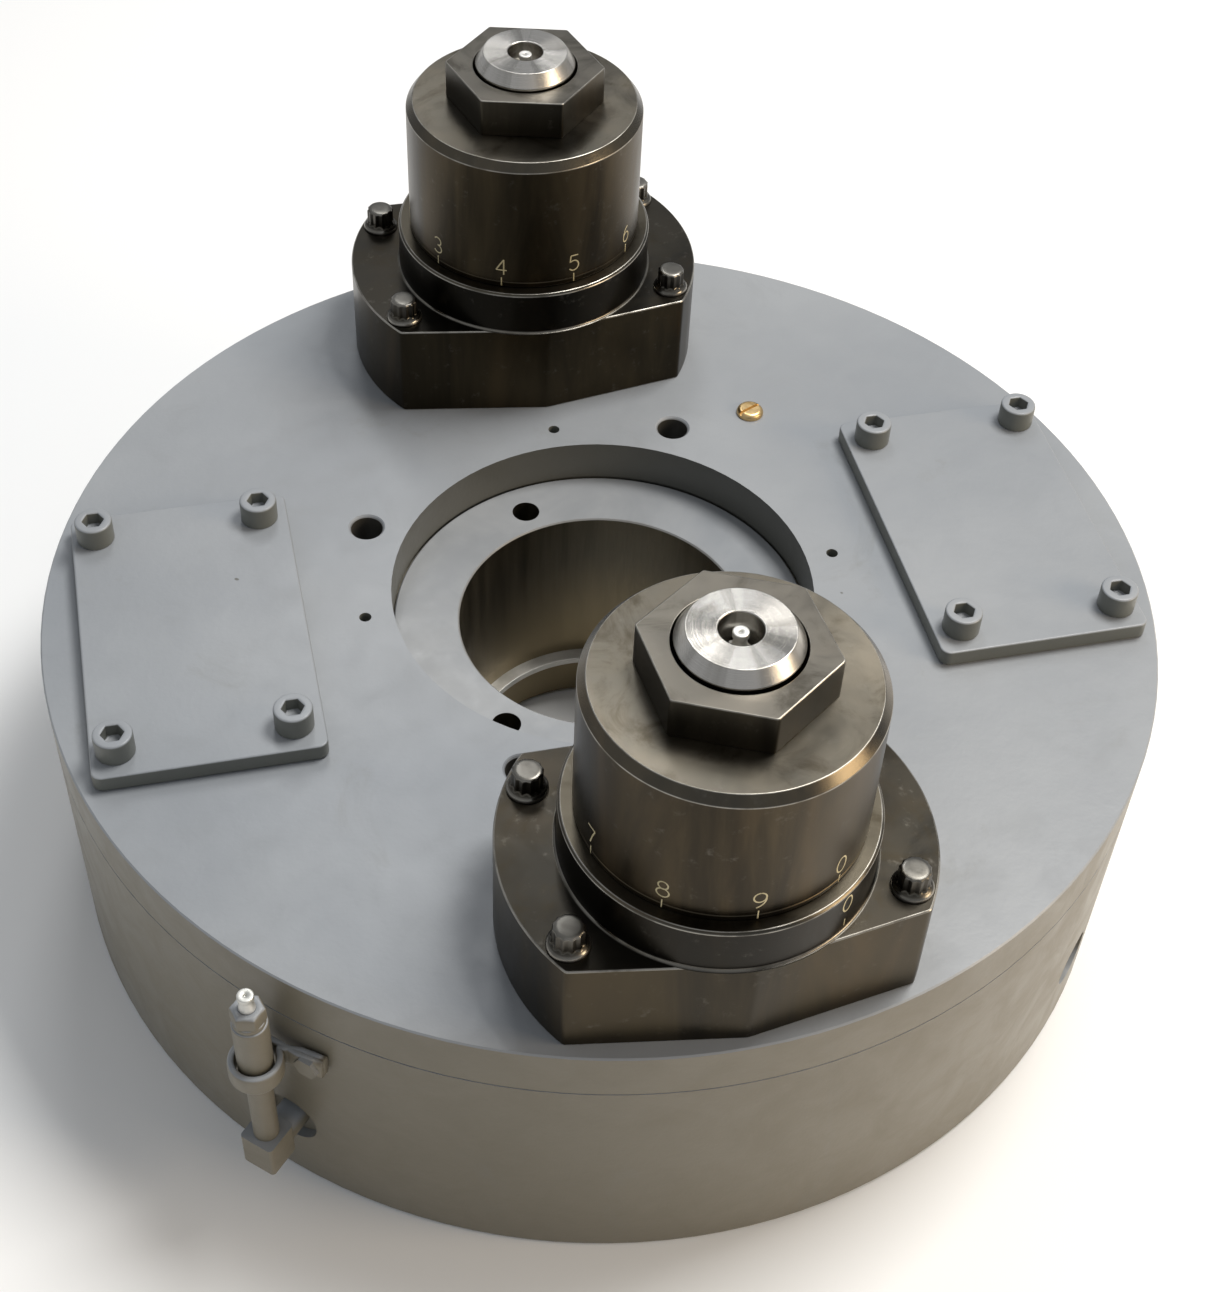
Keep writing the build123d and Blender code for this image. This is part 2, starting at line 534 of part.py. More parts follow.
def make_quill(name, y):
    """Sliding quill with two bearing seats and the keyway that stops it turning."""
    with BuildPart() as quill:
        turn(raised([
            (QUILL_SEAT_R, QUILL_LOW), (QUILL_R, QUILL_LOW), (QUILL_R, QUILL_TOP), (QUILL_SEAT_R, QUILL_TOP),
            (QUILL_SEAT_R, UPPER_RACE[0]), (36.0, UPPER_RACE[0]), (36.0, LOWER_RACE[1]),
            (QUILL_SEAT_R, LOWER_RACE[1]),
        ]), y)
        box((QUILL_R - 3.3, QUILL_R + 1), (y - KEY_SLOT / 2 - TURN_GAP, y + KEY_SLOT / 2 + TURN_GAP),
            (DRUM_H + QUILL_LOW - 1, DRUM_H + 52), Mode.SUBTRACT)
    save(quill.part, f"quill_{name}")
    with BuildPart() as quill_key:
        box((QUILL_R - 3, QUILL_R + 5), (y - KEY_SLOT / 2, y + KEY_SLOT / 2), (DRUM_H + 12, DRUM_H + 42))
    save(quill_key.part, f"quill_key_{name}")
    with BuildPart() as end_nut:
        turn(raised([
            (26.0, 18.0), (QUILL_SEAT_R, 18.0), (QUILL_SEAT_R, LOWER_RACE[0]), (26.0, LOWER_RACE[0]),
        ]), y)
        with BuildSketch(Plane.XY.offset(DRUM_H + 18.0)) as notches:
            with Locations((0, y)):
                with PolarLocations(31.0, 4):
                    Circle(2.5)
        extrude(notches.sketch, amount=8, mode=Mode.SUBTRACT)
    save(end_nut.part, f"quill_end_nut_{name}")
    with BuildPart() as nose_seal:
        turn(raised([
            (NOSE_R + TURN_GAP, UPPER_RACE[1] + 1), (QUILL_SEAT_R, UPPER_RACE[1]), (QUILL_SEAT_R, QUILL_TOP),
            (NOSE_R + 2.5, QUILL_TOP), (NOSE_R + TURN_GAP, QUILL_TOP - 3),
        ]), y)
    save(nose_seal.part, f"nose_seal_{name}")


def unit_race(inner, outer, heights, y, clearance):
    """Ball race of a spindle bearing, grooved round the ball circle."""
    middle = DRUM_H + sum(heights) / 2
    with BuildSketch(Plane.XZ.offset(-y)) as section:
        with Locations(((inner + outer) / 2, middle)):
            Rectangle(outer - inner, heights[1] - heights[0])
        with Locations((UNIT_BALL_PCR, middle)):
            Circle(UNIT_BALL_R + clearance, mode=Mode.SUBTRACT)
    revolve(section.sketch, axis=Axis((0, y, 0), (0, 0, 1)))


def make_unit_bearings(name, y):
    """Two ball bearings in the quill and the needle bearing in the drum floor."""
    with BuildPart() as outer_races:
        for heights in (LOWER_RACE, UPPER_RACE):
            unit_race(32.6, QUILL_SEAT_R, heights, y, 0.0)
    save(outer_races.part, f"spindle_outer_races_{name}")
    with BuildPart() as inner_races:
        for heights in (LOWER_RACE, UPPER_RACE):
            unit_race(SHAFT_R, 27.2, heights, y, TURN_GAP)
    save(inner_races.part, f"spindle_inner_races_{name}")
    with BuildPart() as balls:
        for heights in (LOWER_RACE, UPPER_RACE):
            with Locations((0, y, DRUM_H + sum(heights) / 2)):
                with PolarLocations(UNIT_BALL_PCR, UNIT_BALL_COUNT):
                    Sphere(UNIT_BALL_R)
    save(balls.part, f"spindle_balls_{name}")
    with BuildPart() as needles:
        turn([
            (NEEDLE_PCR + NEEDLE_R, NEEDLE_Z[0]), (NEEDLE_SHELL_R, NEEDLE_Z[0]),
            (NEEDLE_SHELL_R, NEEDLE_Z[1]), (NEEDLE_PCR + NEEDLE_R, NEEDLE_Z[1]),
        ], y)
        with BuildSketch(Plane.XY.offset(NEEDLE_Z[0] + 2)) as rollers:
            with Locations((0, y)):
                with PolarLocations(NEEDLE_PCR - 0.02, 20):
                    Circle(NEEDLE_R)
        extrude(rollers.sketch, amount=NEEDLE_Z[1] - NEEDLE_Z[0] - 4)
    save(needles.part, f"needle_bearing_{name}")


def make_dial(name, y):
    """Graduated dial sleeve, the hex that turns it and the split ring that holds it on the collar."""
    with BuildPart() as sleeve:
        turn(raised([
            (QUILL_R + TURN_GAP, SKIRT_LOW), (SKIRT_R, SKIRT_LOW), (SKIRT_R, RETAINER_Z[0] - TURN_GAP),
            (RETAINER_R[0] - TURN_GAP, RETAINER_Z[0] - TURN_GAP),
            (RETAINER_R[0] - TURN_GAP, RETAINER_Z[1] + TURN_GAP),
            (SKIRT_R, RETAINER_Z[1] + TURN_GAP), (SKIRT_R, SLEEVE_FOOT), (SLEEVE_R, SLEEVE_FOOT),
            (SLEEVE_R, 152.4), (59.9, SLEEVE_TOP), (34.0, SLEEVE_TOP), (34.0, 141.0),
            (QUILL_R + TURN_GAP, 141.0),
        ]), y)
    save(sleeve.part, f"dial_sleeve_{name}")
    with BuildPart() as dial_hex:
        with BuildSketch(Plane.XY.offset(DRUM_H + SLEEVE_TOP)) as hex_face:
            with Locations((0, y)):
                RegularPolygon(HEX_AF / 2, 6, major_radius=False, rotation=HEX_PHASE[name])
        extrude(hex_face.sketch, amount=HEX_H)
        disc(34.0, DRUM_H + 144.0, DRUM_H + SLEEVE_TOP, [(0, y)])
        disc(NOSE_R + 1.1, DRUM_H + 144.0, DRUM_H + SLEEVE_TOP + HEX_H, [(0, y)], mode=Mode.SUBTRACT)
    save(dial_hex.part, f"dial_hex_{name}")
    with BuildPart() as retainer:
        with BuildSketch(Plane.XY.offset(DRUM_H + RETAINER_Z[0])) as split_ring:
            with Locations((0, y)):
                Circle(RETAINER_R[1])
                Circle(RETAINER_R[0], mode=Mode.SUBTRACT)
            with Locations((0, y + 57)):
                Rectangle(6, 12, mode=Mode.SUBTRACT)
        extrude(split_ring.sketch, amount=RETAINER_Z[1] - RETAINER_Z[0])
    save(retainer.part, f"dial_retainer_{name}")


def make_spindle(name, y):
    """Spindle with its bright nose, the pinion on it and the grease nipple sunk in the nose."""
    shoulder = GEAR_Z + GEAR_FACE - DRUM_H
    with BuildPart() as spindle:
        turn(raised([
            (0, 18 - DRUM_H), (JOURNAL_R, 18 - DRUM_H), (JOURNAL_R, 58 - DRUM_H), (PINION_BORE, 58 - DRUM_H),
            (PINION_BORE, shoulder), (SHAFT_R, shoulder), (SHAFT_R, UPPER_RACE[1]), (NOSE_R, UPPER_RACE[1]),
            (NOSE_R, NOSE_BASE), (NOSE_TIP_R, NOSE_TOP), (9.2, NOSE_TOP), (9.2, NOSE_TOP - NIPPLE_RECESS),
            (0, NOSE_TOP - NIPPLE_RECESS),
        ]), y)
    save(spindle.part, f"spindle_{name}")
    with BuildPart() as pinion:
        toothed_disc(PINION_TEETH, PINION_Z, PINION_FACE, y)
        disc(PINION_BORE, PINION_Z, PINION_Z + PINION_FACE, [(0, y)], mode=Mode.SUBTRACT)
    save(pinion.part, f"pinion_{name}")
    seat = NOSE_TOP - NIPPLE_RECESS
    with BuildPart() as nipple:
        with BuildSketch(Plane.XY.offset(DRUM_H + seat)) as hex_base:
            with Locations((0, y)):
                RegularPolygon(4.8, 6, major_radius=False)
        extrude(hex_base.sketch, amount=5)
        turn(raised([
            (0, seat + 5), (3.6, seat + 5), (2.9, seat + 8.5), (2.3, seat + 10.5), (3.3, seat + 12.0),
            (3.3, seat + 13.2), (2.3, seat + 14.4), (0.6, seat + 14.4), (0.6, seat + 12.0), (0, seat + 12.0),
        ]), y)
    save(nipple.part, f"nose_nipple_{name}")


for unit_name, unit_y in UNITS.items():
    make_flange(unit_name, unit_y)
    make_quill(unit_name, unit_y)
    make_unit_bearings(unit_name, unit_y)
    make_dial(unit_name, unit_y)
    make_spindle(unit_name, unit_y)

BOLT_SEAT = DRUM_H + FLANGE_T
with BuildPart() as flange_bolts:
    disc(SCREW_R, DRUM_H - TAP_DEPTH + TAP_SPARE, BOLT_SEAT, FLANGE_BOLT_SPOTS)
    disc(HEAD_R, BOLT_SEAT, BOLT_SEAT + 4.2, FLANGE_BOLT_SPOTS)
    for turned in (0, 30):
        with BuildSketch(Plane.XY.offset(BOLT_SEAT + 4.2)) as points:
            with Locations(*FLANGE_BOLT_SPOTS):
                RegularPolygon(HEAD_H / 2, 6, major_radius=False, rotation=turned)
        extrude(points.sketch, amount=HEAD_H - 4.2)
save(flange_bolts.part, "flange_bolts")

# ---------------------------------------------------------------- outside grease lines

ELBOW_HALF = 9.0
TUBE_R = 5.2
COUPLING_R = 8.3
COUPLING_Z = (108.0, 151.0)
ADAPTOR_TOP = 162.0
CLIP_BAND = 12.0
CLIP_T = 3.0


LUBE_SPOT = ring_spots(LUBE_R, [LUBE_ANGLE])[0]

with BuildPart() as lube_elbow:
    with BuildSketch(Plane.XY.offset(PORT_Z - ELBOW_HALF)) as block:
        with Locations(LUBE_SPOT):
            RectangleRounded(2 * ELBOW_HALF, 2 * ELBOW_HALF, 2, rotation=LUBE_ANGLE)
    extrude(block.sketch, amount=2 * ELBOW_HALF + 3)
    with BuildSketch(radial_plane(LUBE_ANGLE, DRUM_R - WALL_T - 5, PORT_Z)) as leg:
        Circle(PORT_R - 0.1)
    extrude(leg.sketch, amount=LUBE_R - DRUM_R + WALL_T + 5)
save(lube_elbow.part, "lube_elbow")

with BuildPart() as lube_tube:
    disc(TUBE_R, PORT_Z + ELBOW_HALF + 3, COUPLING_Z[0], [LUBE_SPOT])
save(lube_tube.part, "lube_tube")

with BuildPart() as lube_coupling:
    disc(COUPLING_R, *COUPLING_Z, [LUBE_SPOT])
    chamfer(lube_coupling.edges().filter_by(GeomType.CIRCLE), 1.0)
save(lube_coupling.part, "lube_coupling")

with BuildPart() as lube_adaptor:
    disc(7.6, COUPLING_Z[1], COUPLING_Z[1] + 2.5, [LUBE_SPOT])
    with BuildSketch(Plane.XY.offset(COUPLING_Z[1] + 2.5)) as hexes:
        with Locations(LUBE_SPOT):
            RegularPolygon(7.2, 6, major_radius=False)
    extrude(hexes.sketch, amount=ADAPTOR_TOP - COUPLING_Z[1] - 2.5)
save(lube_adaptor.part, "lube_adaptor")

with BuildPart() as lube_nipple:
    with BuildSketch(Plane(origin=(*LUBE_SPOT, 0), x_dir=(1, 0, 0), z_dir=(0, -1, 0))) as half_section:
        with BuildLine():
            Polyline(
                (0, ADAPTOR_TOP), (3.6, ADAPTOR_TOP), (2.9, ADAPTOR_TOP + 4), (2.4, ADAPTOR_TOP + 5.5),
                (3.4, ADAPTOR_TOP + 7), (3.4, ADAPTOR_TOP + 8.2), (2.4, ADAPTOR_TOP + 9.4),
                (0, ADAPTOR_TOP + 9.4), close=True)
        make_face()
    revolve(half_section.sketch, axis=Axis((*LUBE_SPOT, 0), (0, 0, 1)))
save(lube_nipple.part, "lube_nipple")

with BuildPart() as lube_clip:
    with BuildSketch(Plane.XY.offset(CLIP_Z - CLIP_BAND / 2)) as loop:
        with Locations(LUBE_SPOT):
            Circle(COUPLING_R + CLIP_T)
    extrude(loop.sketch, amount=CLIP_BAND)
    with BuildSketch(radial_plane(LUBE_ANGLE, DRUM_R, CLIP_Z, PAD_OFFSET / 2)) as foot:
        Rectangle(PAD_OFFSET + 14, CLIP_BAND)
    extrude(foot.sketch, amount=CLIP_T + 0.8)
    with BuildSketch(radial_plane(LUBE_ANGLE, DRUM_R + CLIP_T, CLIP_Z, 5)) as web:
        Rectangle(CLIP_T, CLIP_BAND)
    extrude(web.sketch, amount=8)
    with BuildSketch(radial_plane(LUBE_ANGLE, DRUM_R, CLIP_Z, PAD_OFFSET)) as hole:
        Circle(3.4)
    extrude(hole.sketch, amount=8, mode=Mode.SUBTRACT)
    disc(COUPLING_R, CLIP_Z - CLIP_BAND, CLIP_Z + CLIP_BAND, [LUBE_SPOT], mode=Mode.SUBTRACT)
    disc(DRUM_R, CLIP_Z - CLIP_BAND, CLIP_Z + CLIP_BAND, mode=Mode.SUBTRACT)
save(lube_clip.part, "lube_clip")

with BuildPart() as lube_clip_screw:
    seat = DRUM_R + CLIP_T + 0.8
    with BuildSketch(radial_plane(LUBE_ANGLE, DRUM_R - CLIP_SCREW_DEPTH, CLIP_Z, PAD_OFFSET)) as shank:
        Circle(CLIP_SCREW_R)
    extrude(shank.sketch, amount=seat - DRUM_R + CLIP_SCREW_DEPTH)
    with BuildSketch(radial_plane(LUBE_ANGLE, seat, CLIP_Z, PAD_OFFSET)) as head:
        RegularPolygon(5.55, 6, major_radius=False)
    extrude(head.sketch, amount=4.2)
save(lube_clip_screw.part, "lube_clip_screw")

with BuildPart() as side_plugs:
    for angle in PLUG_ANGLES:
        with BuildSketch(radial_plane(angle, DRUM_R - WALL_T, PORT_Z)) as thread:
            Circle(PORT_R - 0.05)
        extrude(thread.sketch, amount=WALL_T - PORT_FACE_DEPTH)
        with BuildSketch(radial_plane(angle, DRUM_R - PORT_FACE_DEPTH, PORT_Z)) as key_hole:
            RegularPolygon(4.0, 6, major_radius=False)
        extrude(key_hole.sketch, amount=-7, mode=Mode.SUBTRACT)
save(side_plugs.part, "side_plugs")
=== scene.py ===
import math

import bmesh
import bpy
import numpy as np
from mathutils import Matrix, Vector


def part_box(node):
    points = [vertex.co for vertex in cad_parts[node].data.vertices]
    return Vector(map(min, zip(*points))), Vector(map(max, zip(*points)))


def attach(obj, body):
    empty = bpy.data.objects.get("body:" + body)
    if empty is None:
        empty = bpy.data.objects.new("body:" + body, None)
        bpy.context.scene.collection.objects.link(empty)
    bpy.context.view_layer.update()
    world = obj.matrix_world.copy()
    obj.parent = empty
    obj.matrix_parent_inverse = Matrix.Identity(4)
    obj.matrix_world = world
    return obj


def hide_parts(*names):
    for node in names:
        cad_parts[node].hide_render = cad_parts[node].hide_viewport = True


# Twin-spindle machine head: grey painted drum, two blackened spindle units with numbered dials.
# Lengths in this script are written in millimetres and become metres where a surface is made.

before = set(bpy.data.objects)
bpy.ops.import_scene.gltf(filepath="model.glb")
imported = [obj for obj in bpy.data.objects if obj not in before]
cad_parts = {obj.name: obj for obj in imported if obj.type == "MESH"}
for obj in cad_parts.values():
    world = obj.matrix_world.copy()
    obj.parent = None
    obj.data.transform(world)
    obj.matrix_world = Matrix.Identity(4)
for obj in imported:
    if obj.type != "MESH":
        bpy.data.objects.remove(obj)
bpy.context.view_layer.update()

MM = 0.001
PLATE_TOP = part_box("top_plate")[1].z / MM
UNIT_REACH = 212.0
UNITS = {"front": -UNIT_REACH, "rear": UNIT_REACH}
LUBE_ANGLE = 226.5
LUBE_REACH = 302.95
DRUM_R = 285.75
TAPPED_ANGLE, TAPPED_PCR = 60.0, 131.4


# ------------------------------------------------------------------ surfaces

def keep_flat(piece):
    """Normals weighted by face size, so wide flat faces aren't shaded as if they curved into their edges."""
    flat = piece.modifiers.new("flat faces stay flat", "WEIGHTED_NORMAL")
    flat.weight = 60


def skin(name, parts, body, finish, stands_for=(), poles=False):
    """One mesh from grids of points. Each part is (rings, looped, wear): rings is a rings x points x 3
    array in mm, neighbours in both directions are joined by quads, the last point of a ring meets its
    first, and a looped part also joins its last ring to its first. A part that isn't looped is capped flat
    at both ends. The UV map runs round a ring from 0 to 1 and along the rings in tenths of a metre. wear is
    kept as a point attribute. With poles, rings of no radius shrink to one point each. The piece rides its
    body and stands for CAD nodes."""
    points, quads, caps, uvs, cap_uvs, wears = [], [], [], [], [], []
    start = 0
    for rings, looped, wear in parts:
        rows, count = rings.shape[:2]
        index = np.arange(rows * count).reshape(rows, count) + start
        step = np.linalg.norm(np.diff(rings, axis=0), axis=2).mean(1)
        along = np.concatenate(([0.0], np.cumsum(step))) / 100
        around = np.arange(count + 1) / count
        last = rows if looped else rows - 1
        i = np.arange(last)[:, None]
        j = np.arange(count)[None, :]
        below, above = i % rows, (i + 1) % rows
        right = (j + 1) % count
        quads.append(np.stack([index[below, j + 0 * i], index[below, right + 0 * i],
                               index[above, right + 0 * i], index[above, j + 0 * i]], -1).reshape(-1, 4))
        low_v = along[below + 0 * j]
        high_v = np.where(i + 1 < rows, along[np.minimum(i + 1, rows - 1)], along[-1] + 0.01) + 0 * j
        u0, u1 = around[j + 0 * i], around[j + 1 + 0 * i]
        uvs.append(np.stack([u0, low_v, u1, low_v, u1, high_v, u0, high_v], -1).reshape(-1, 2))
        if not looped:
            caps += [index[0, ::-1].tolist(), index[-1].tolist()]
            cap_uvs += [np.zeros((2 * count, 2))]
        points.append(rings.reshape(-1, 3))
        wears.append(np.repeat(np.asarray(wear, float), count))
        start += rows * count
    mesh = bpy.data.meshes.new(name)
    mesh.from_pydata((np.concatenate(points) * MM).tolist(), [], np.concatenate(quads).tolist() + caps)
    layer = mesh.uv_layers.new(name="turning")
    layer.data.foreach_set("uv", np.concatenate(uvs + cap_uvs).astype(np.float32).ravel())
    edge_wear = mesh.attributes.new("wear", "FLOAT", "POINT")
    edge_wear.data.foreach_set("value", np.concatenate(wears).astype(np.float32))
    work = bmesh.new()
    work.from_mesh(mesh)
    if poles:
        bmesh.ops.remove_doubles(work, verts=work.verts, dist=1e-6)
    bmesh.ops.recalc_face_normals(work, faces=work.faces)
    work.to_mesh(mesh)
    work.free()
    mesh.polygons.foreach_set("use_smooth", np.ones(len(mesh.polygons), bool))
    mesh.materials.append(finish)
    piece = bpy.data.objects.new(name, mesh)
    bpy.context.scene.collection.objects.link(piece)
    keep_flat(piece)
    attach(piece, body)
    if stands_for:
        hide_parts(*stands_for)


def softened(corners, steps=4):
    """A half-section (radius, height) whose corners are eased. Rows of corners are radius, height and
    reach: each corner c is replaced by the curve (1-t)^2 a + 2t(1-t) c + t^2 b, where a and b lie on its
    two sides at that reach. A third column gives the wear there, 4t(1-t) on corners that stick out and 0 on
    inner corners."""
    corners = np.asarray(corners, float)
    place, reach = corners[:, :2], corners[:, 2:3]
    back, on = np.roll(place, 1, 0) - place, np.roll(place, -1, 0) - place
    back_len = np.linalg.norm(back, axis=1, keepdims=True)
    on_len = np.linalg.norm(on, axis=1, keepdims=True)
    a = place + back / back_len * np.minimum(reach, 0.48 * back_len)
    b = place + on / on_len * np.minimum(reach, 0.48 * on_len)
    t = np.linspace(0, 1, steps)[None, :, None]
    curve = (1 - t) ** 2 * a[:, None] + 2 * t * (1 - t) * place[:, None] + t ** 2 * b[:, None]
    sticks_out = (back[:, 1] * on[:, 0] - back[:, 0] * on[:, 1] > 0).astype(float)
    wear = (sticks_out * (reach[:, 0] > 0))[:, None, None] * 4 * t * (1 - t)
    return np.concatenate([curve, np.broadcast_to(wear, curve.shape[:2] + (1,))], -1).reshape(-1, 3)


def turned(section, centre, around=192):
    """Rings of a lathe surface: each row (r, h, wear) of the half-section becomes a circle x = cx + r cos a,
    y = cy + r sin a, z = h, for evenly spaced angles a."""
    angle = np.linspace(0, 2 * math.pi, around, endpoint=False)
    r, h = section[:, :1], section[:, 1:2]
    rings = np.stack([centre[0] + r * np.cos(angle), centre[1] + r * np.sin(angle), h + 0 * angle], -1)
    return rings, True, section[:, 2]


def faced(sides, round_r, soft=70.0, around=288):
    """Polar outline r(a) of a body cut by flat faces. Every side (direction in degrees, distance) allows r
    up to distance / cos(a - direction) and the round allows r up to round_r; r is their soft least value, m
    * (sum of (m / limit)^soft)^(-1/soft) with m the least limit, so corners are slightly eased."""
    angle = np.linspace(0, 2 * math.pi, around, endpoint=False)
    limits = [np.full(around, 1e6 if round_r is None else round_r)]
    for direction, distance in sides:
        limits.append(distance / np.maximum(np.cos(angle - math.radians(direction)), 1e-3))
    least = np.min(limits, axis=0)
    return least * np.sum([(least / limit) ** soft for limit in limits], axis=0) ** (-1 / soft)


def stacked(rows, centre, around=288):
    """Rings of a body whose plan changes with height: each row is (outline radii or one radius, height,
    wear), and its ring is x = cx + r(a) cos a, y = cy + r(a) sin a, z = height."""
    angle = np.linspace(0, 2 * math.pi, around, endpoint=False)
    radii = np.stack([np.broadcast_to(np.asarray(r, float), around) for r, _, _ in rows])
    heights = np.array([h for _, h, _ in rows])[:, None] + 0 * radii
    rings = np.stack([centre[0] + radii * np.cos(angle), centre[1] + radii * np.sin(angle), heights], -1)
    return rings, True, np.array([w for _, _, w in rows])


def copies(part, places):
    """The same part set down at several (x, y) places: its points plus each place."""
    rings, looped, wear = part
    return [(rings + np.array([x, y, 0.0]), looped, wear) for x, y in places]


def arc(cx, cy, rx, ry, first, last, count=18):
    """Points on part of an ellipse: cx + rx cos t, cy + ry sin t for t from first to last degrees."""
    t = np.radians(np.linspace(first, last, count))
    return np.stack([cx + rx * np.cos(t), cy + ry * np.sin(t)], -1)


# Single-line numerals, each in a box 0.6 wide and 1 high.
NUMERALS = {
    0: [arc(0.3, 0.5, 0.29, 0.5, 90, 450, 40)],
    1: [np.array([(0.12, 0.82), (0.32, 1.0), (0.32, 0.5), (0.32, 0.0)])],
    2: [np.concatenate([arc(0.3, 0.71, 0.28, 0.29, 165, -35), [(0.16, 0.18), (0.02, 0.0)]]),
        np.array([(0.02, 0.0), (0.3, 0.0), (0.6, 0.0)])],
    3: [arc(0.29, 0.75, 0.26, 0.25, 150, -90), arc(0.29, 0.26, 0.3, 0.26, 90, -150)],
    4: [np.array([(0.43, 0.0), (0.43, 0.5), (0.43, 1.0)]), np.array([(0.43, 1.0), (0.2, 0.64), (0.0, 0.3)]),
        np.array([(0.0, 0.3), (0.3, 0.3), (0.6, 0.3)])],
    5: [np.array([(0.54, 1.0), (0.32, 1.0), (0.1, 1.0)]), np.array([(0.1, 1.0), (0.08, 0.78), (0.06, 0.56)]),
        arc(0.28, 0.33, 0.3, 0.33, 135, -145)],
    6: [arc(0.3, 0.31, 0.28, 0.31, 90, 450, 36), arc(0.62, 0.42, 0.6, 0.6, 108, 182, 14)],
    7: [np.array([(0.0, 1.0), (0.3, 1.0), (0.58, 1.0)]), np.array([(0.58, 1.0), (0.38, 0.52), (0.22, 0.0)])],
    8: [arc(0.3, 0.76, 0.23, 0.24, 90, 450, 32), arc(0.3, 0.27, 0.29, 0.27, 90, 450, 36)],
    9: [arc(0.3, 0.69, 0.28, 0.31, 90, 450, 36), arc(-0.02, 0.58, 0.6, 0.6, -72, 2, 14)],
}
INLAY = 0.05


def engraved(path, radius, centre, direction, width=0.85):
    """An inlaid line on an upright cylinder. The path runs in (arc length, height); each point becomes a
    four-point ring across the line, two feet just under the surface and two shoulders INLAY above it, and
    an arc length s lies at the angle direction + s / radius."""
    tangent = np.gradient(path, axis=0)
    tangent /= np.maximum(np.linalg.norm(tangent, axis=1, keepdims=True), 1e-9)
    across = np.stack([-tangent[:, 1], tangent[:, 0]], -1)
    offsets = np.array([-0.5, -0.38, 0.38, 0.5]) * width
    lifts = np.array([-INLAY, INLAY, INLAY, -INLAY])
    flat = path[:, None] + across[:, None] * offsets[None, :, None]
    angle = math.radians(direction) + flat[..., 0] / radius
    r = radius + lifts[None] + 0 * angle
    rings = np.stack([centre[0] + r * np.cos(angle), centre[1] + r * np.sin(angle), flat[..., 1]], -1)
    return rings, False, np.zeros(len(path))


def numeral(figure, radius, centre, direction, middle, height):
    """The strokes of one numeral, scaled to its height and centred on a direction and a height of the
    cylinder."""
    shift = np.array([-0.3 * height, middle - 0.5 * height])
    return [engraved(stroke * height + shift, radius, centre, direction) for stroke in NUMERALS[figure]]


# ------------------------------------------------------------------ finishes

class Finish:
    """A material being put together. Each call adds one node and gives back its output."""

    def __init__(self, name, **constants):
        self.material = bpy.data.materials.new(name)
        self.material.use_nodes = True
        self.tree = self.material.node_tree
        self.surface = self.tree.nodes["Principled BSDF"]
        for socket, value in constants.items():
            self.surface.inputs[socket.replace("_", " ")].default_value = value
        self.place = self.node("ShaderNodeTexCoord").outputs["Object"]

    def node(self, kind, links=None, **settings):
        made = self.tree.nodes.new(kind)
        for key, value in settings.items():
            setattr(made, key, value)
        for key, value in (links or {}).items():
            if isinstance(value, bpy.types.NodeSocket):
                self.tree.links.new(value, made.inputs[key])
            else:
                made.inputs[key].default_value = value
        return made

    def moved(self, where, shift=(0, 0, 0), scale=(1, 1, 1)):
        links = {"Vector": where, "Location": shift, "Scale": scale}
        return self.node("ShaderNodeMapping", links).outputs[0]

    def noise(self, where, scale, detail=3.0, rough=0.55, warp=0.0):
        links = {"Vector": where, "Scale": scale, "Detail": detail, "Roughness": rough, "Distortion": warp}
        return self.node("ShaderNodeTexNoise", links).outputs["Fac"]

    def maths(self, how, a, b=0.0, c=0.0):
        return self.node("ShaderNodeMath", {0: a, 1: b, 2: c}, operation=how).outputs[0]

    def hypotenuse(self, a, b):
        squares = self.maths("ADD", self.maths("MULTIPLY", a, a), self.maths("MULTIPLY", b, b))
        return self.maths("SQRT", squares)

    def between(self, value, low, high, out_low=0.0, out_high=1.0):
        links = {"Value": value, "From Min": low, "From Max": high, "To Min": out_low, "To Max": out_high}
        return self.node("ShaderNodeMapRange", links, interpolation_type="SMOOTHSTEP").outputs[0]

    def mixed(self, share, first, second):
        links = {0: share, 6: first, 7: second}
        return self.node("ShaderNodeMix", links, data_type="RGBA").outputs[2]

    def axes(self, where):
        return self.node("ShaderNodeSeparateXYZ", {0: where}).outputs

    def relief(self, height, depth, under=None):
        links = {"Height": height, "Distance": depth, "Strength": 1.0}
        if under is not None:
            links["Normal"] = under
        return self.node("ShaderNodeBump", links).outputs[0]

    def wear(self):
        return self.node("ShaderNodeAttribute", attribute_name="wear").outputs["Fac"]

    def facing_up(self):
        normal = self.node("ShaderNodeNewGeometry").outputs["Normal"]
        return self.maths("ABSOLUTE", self.axes(normal)[2])

    def turning_map(self):
        """The lathe pieces' own UV map, and highlights stretched round its rings."""
        tangent = self.node("ShaderNodeTangent", direction_type="UV_MAP", uv_map="turning").outputs[0]
        self.to("Tangent", tangent)
        return self.node("ShaderNodeUVMap", uv_map="turning").outputs[0]

    def to(self, socket, output):
        self.tree.links.new(output, self.surface.inputs[socket])


def rgb(r, g, b):
    return (r, g, b, 1.0)


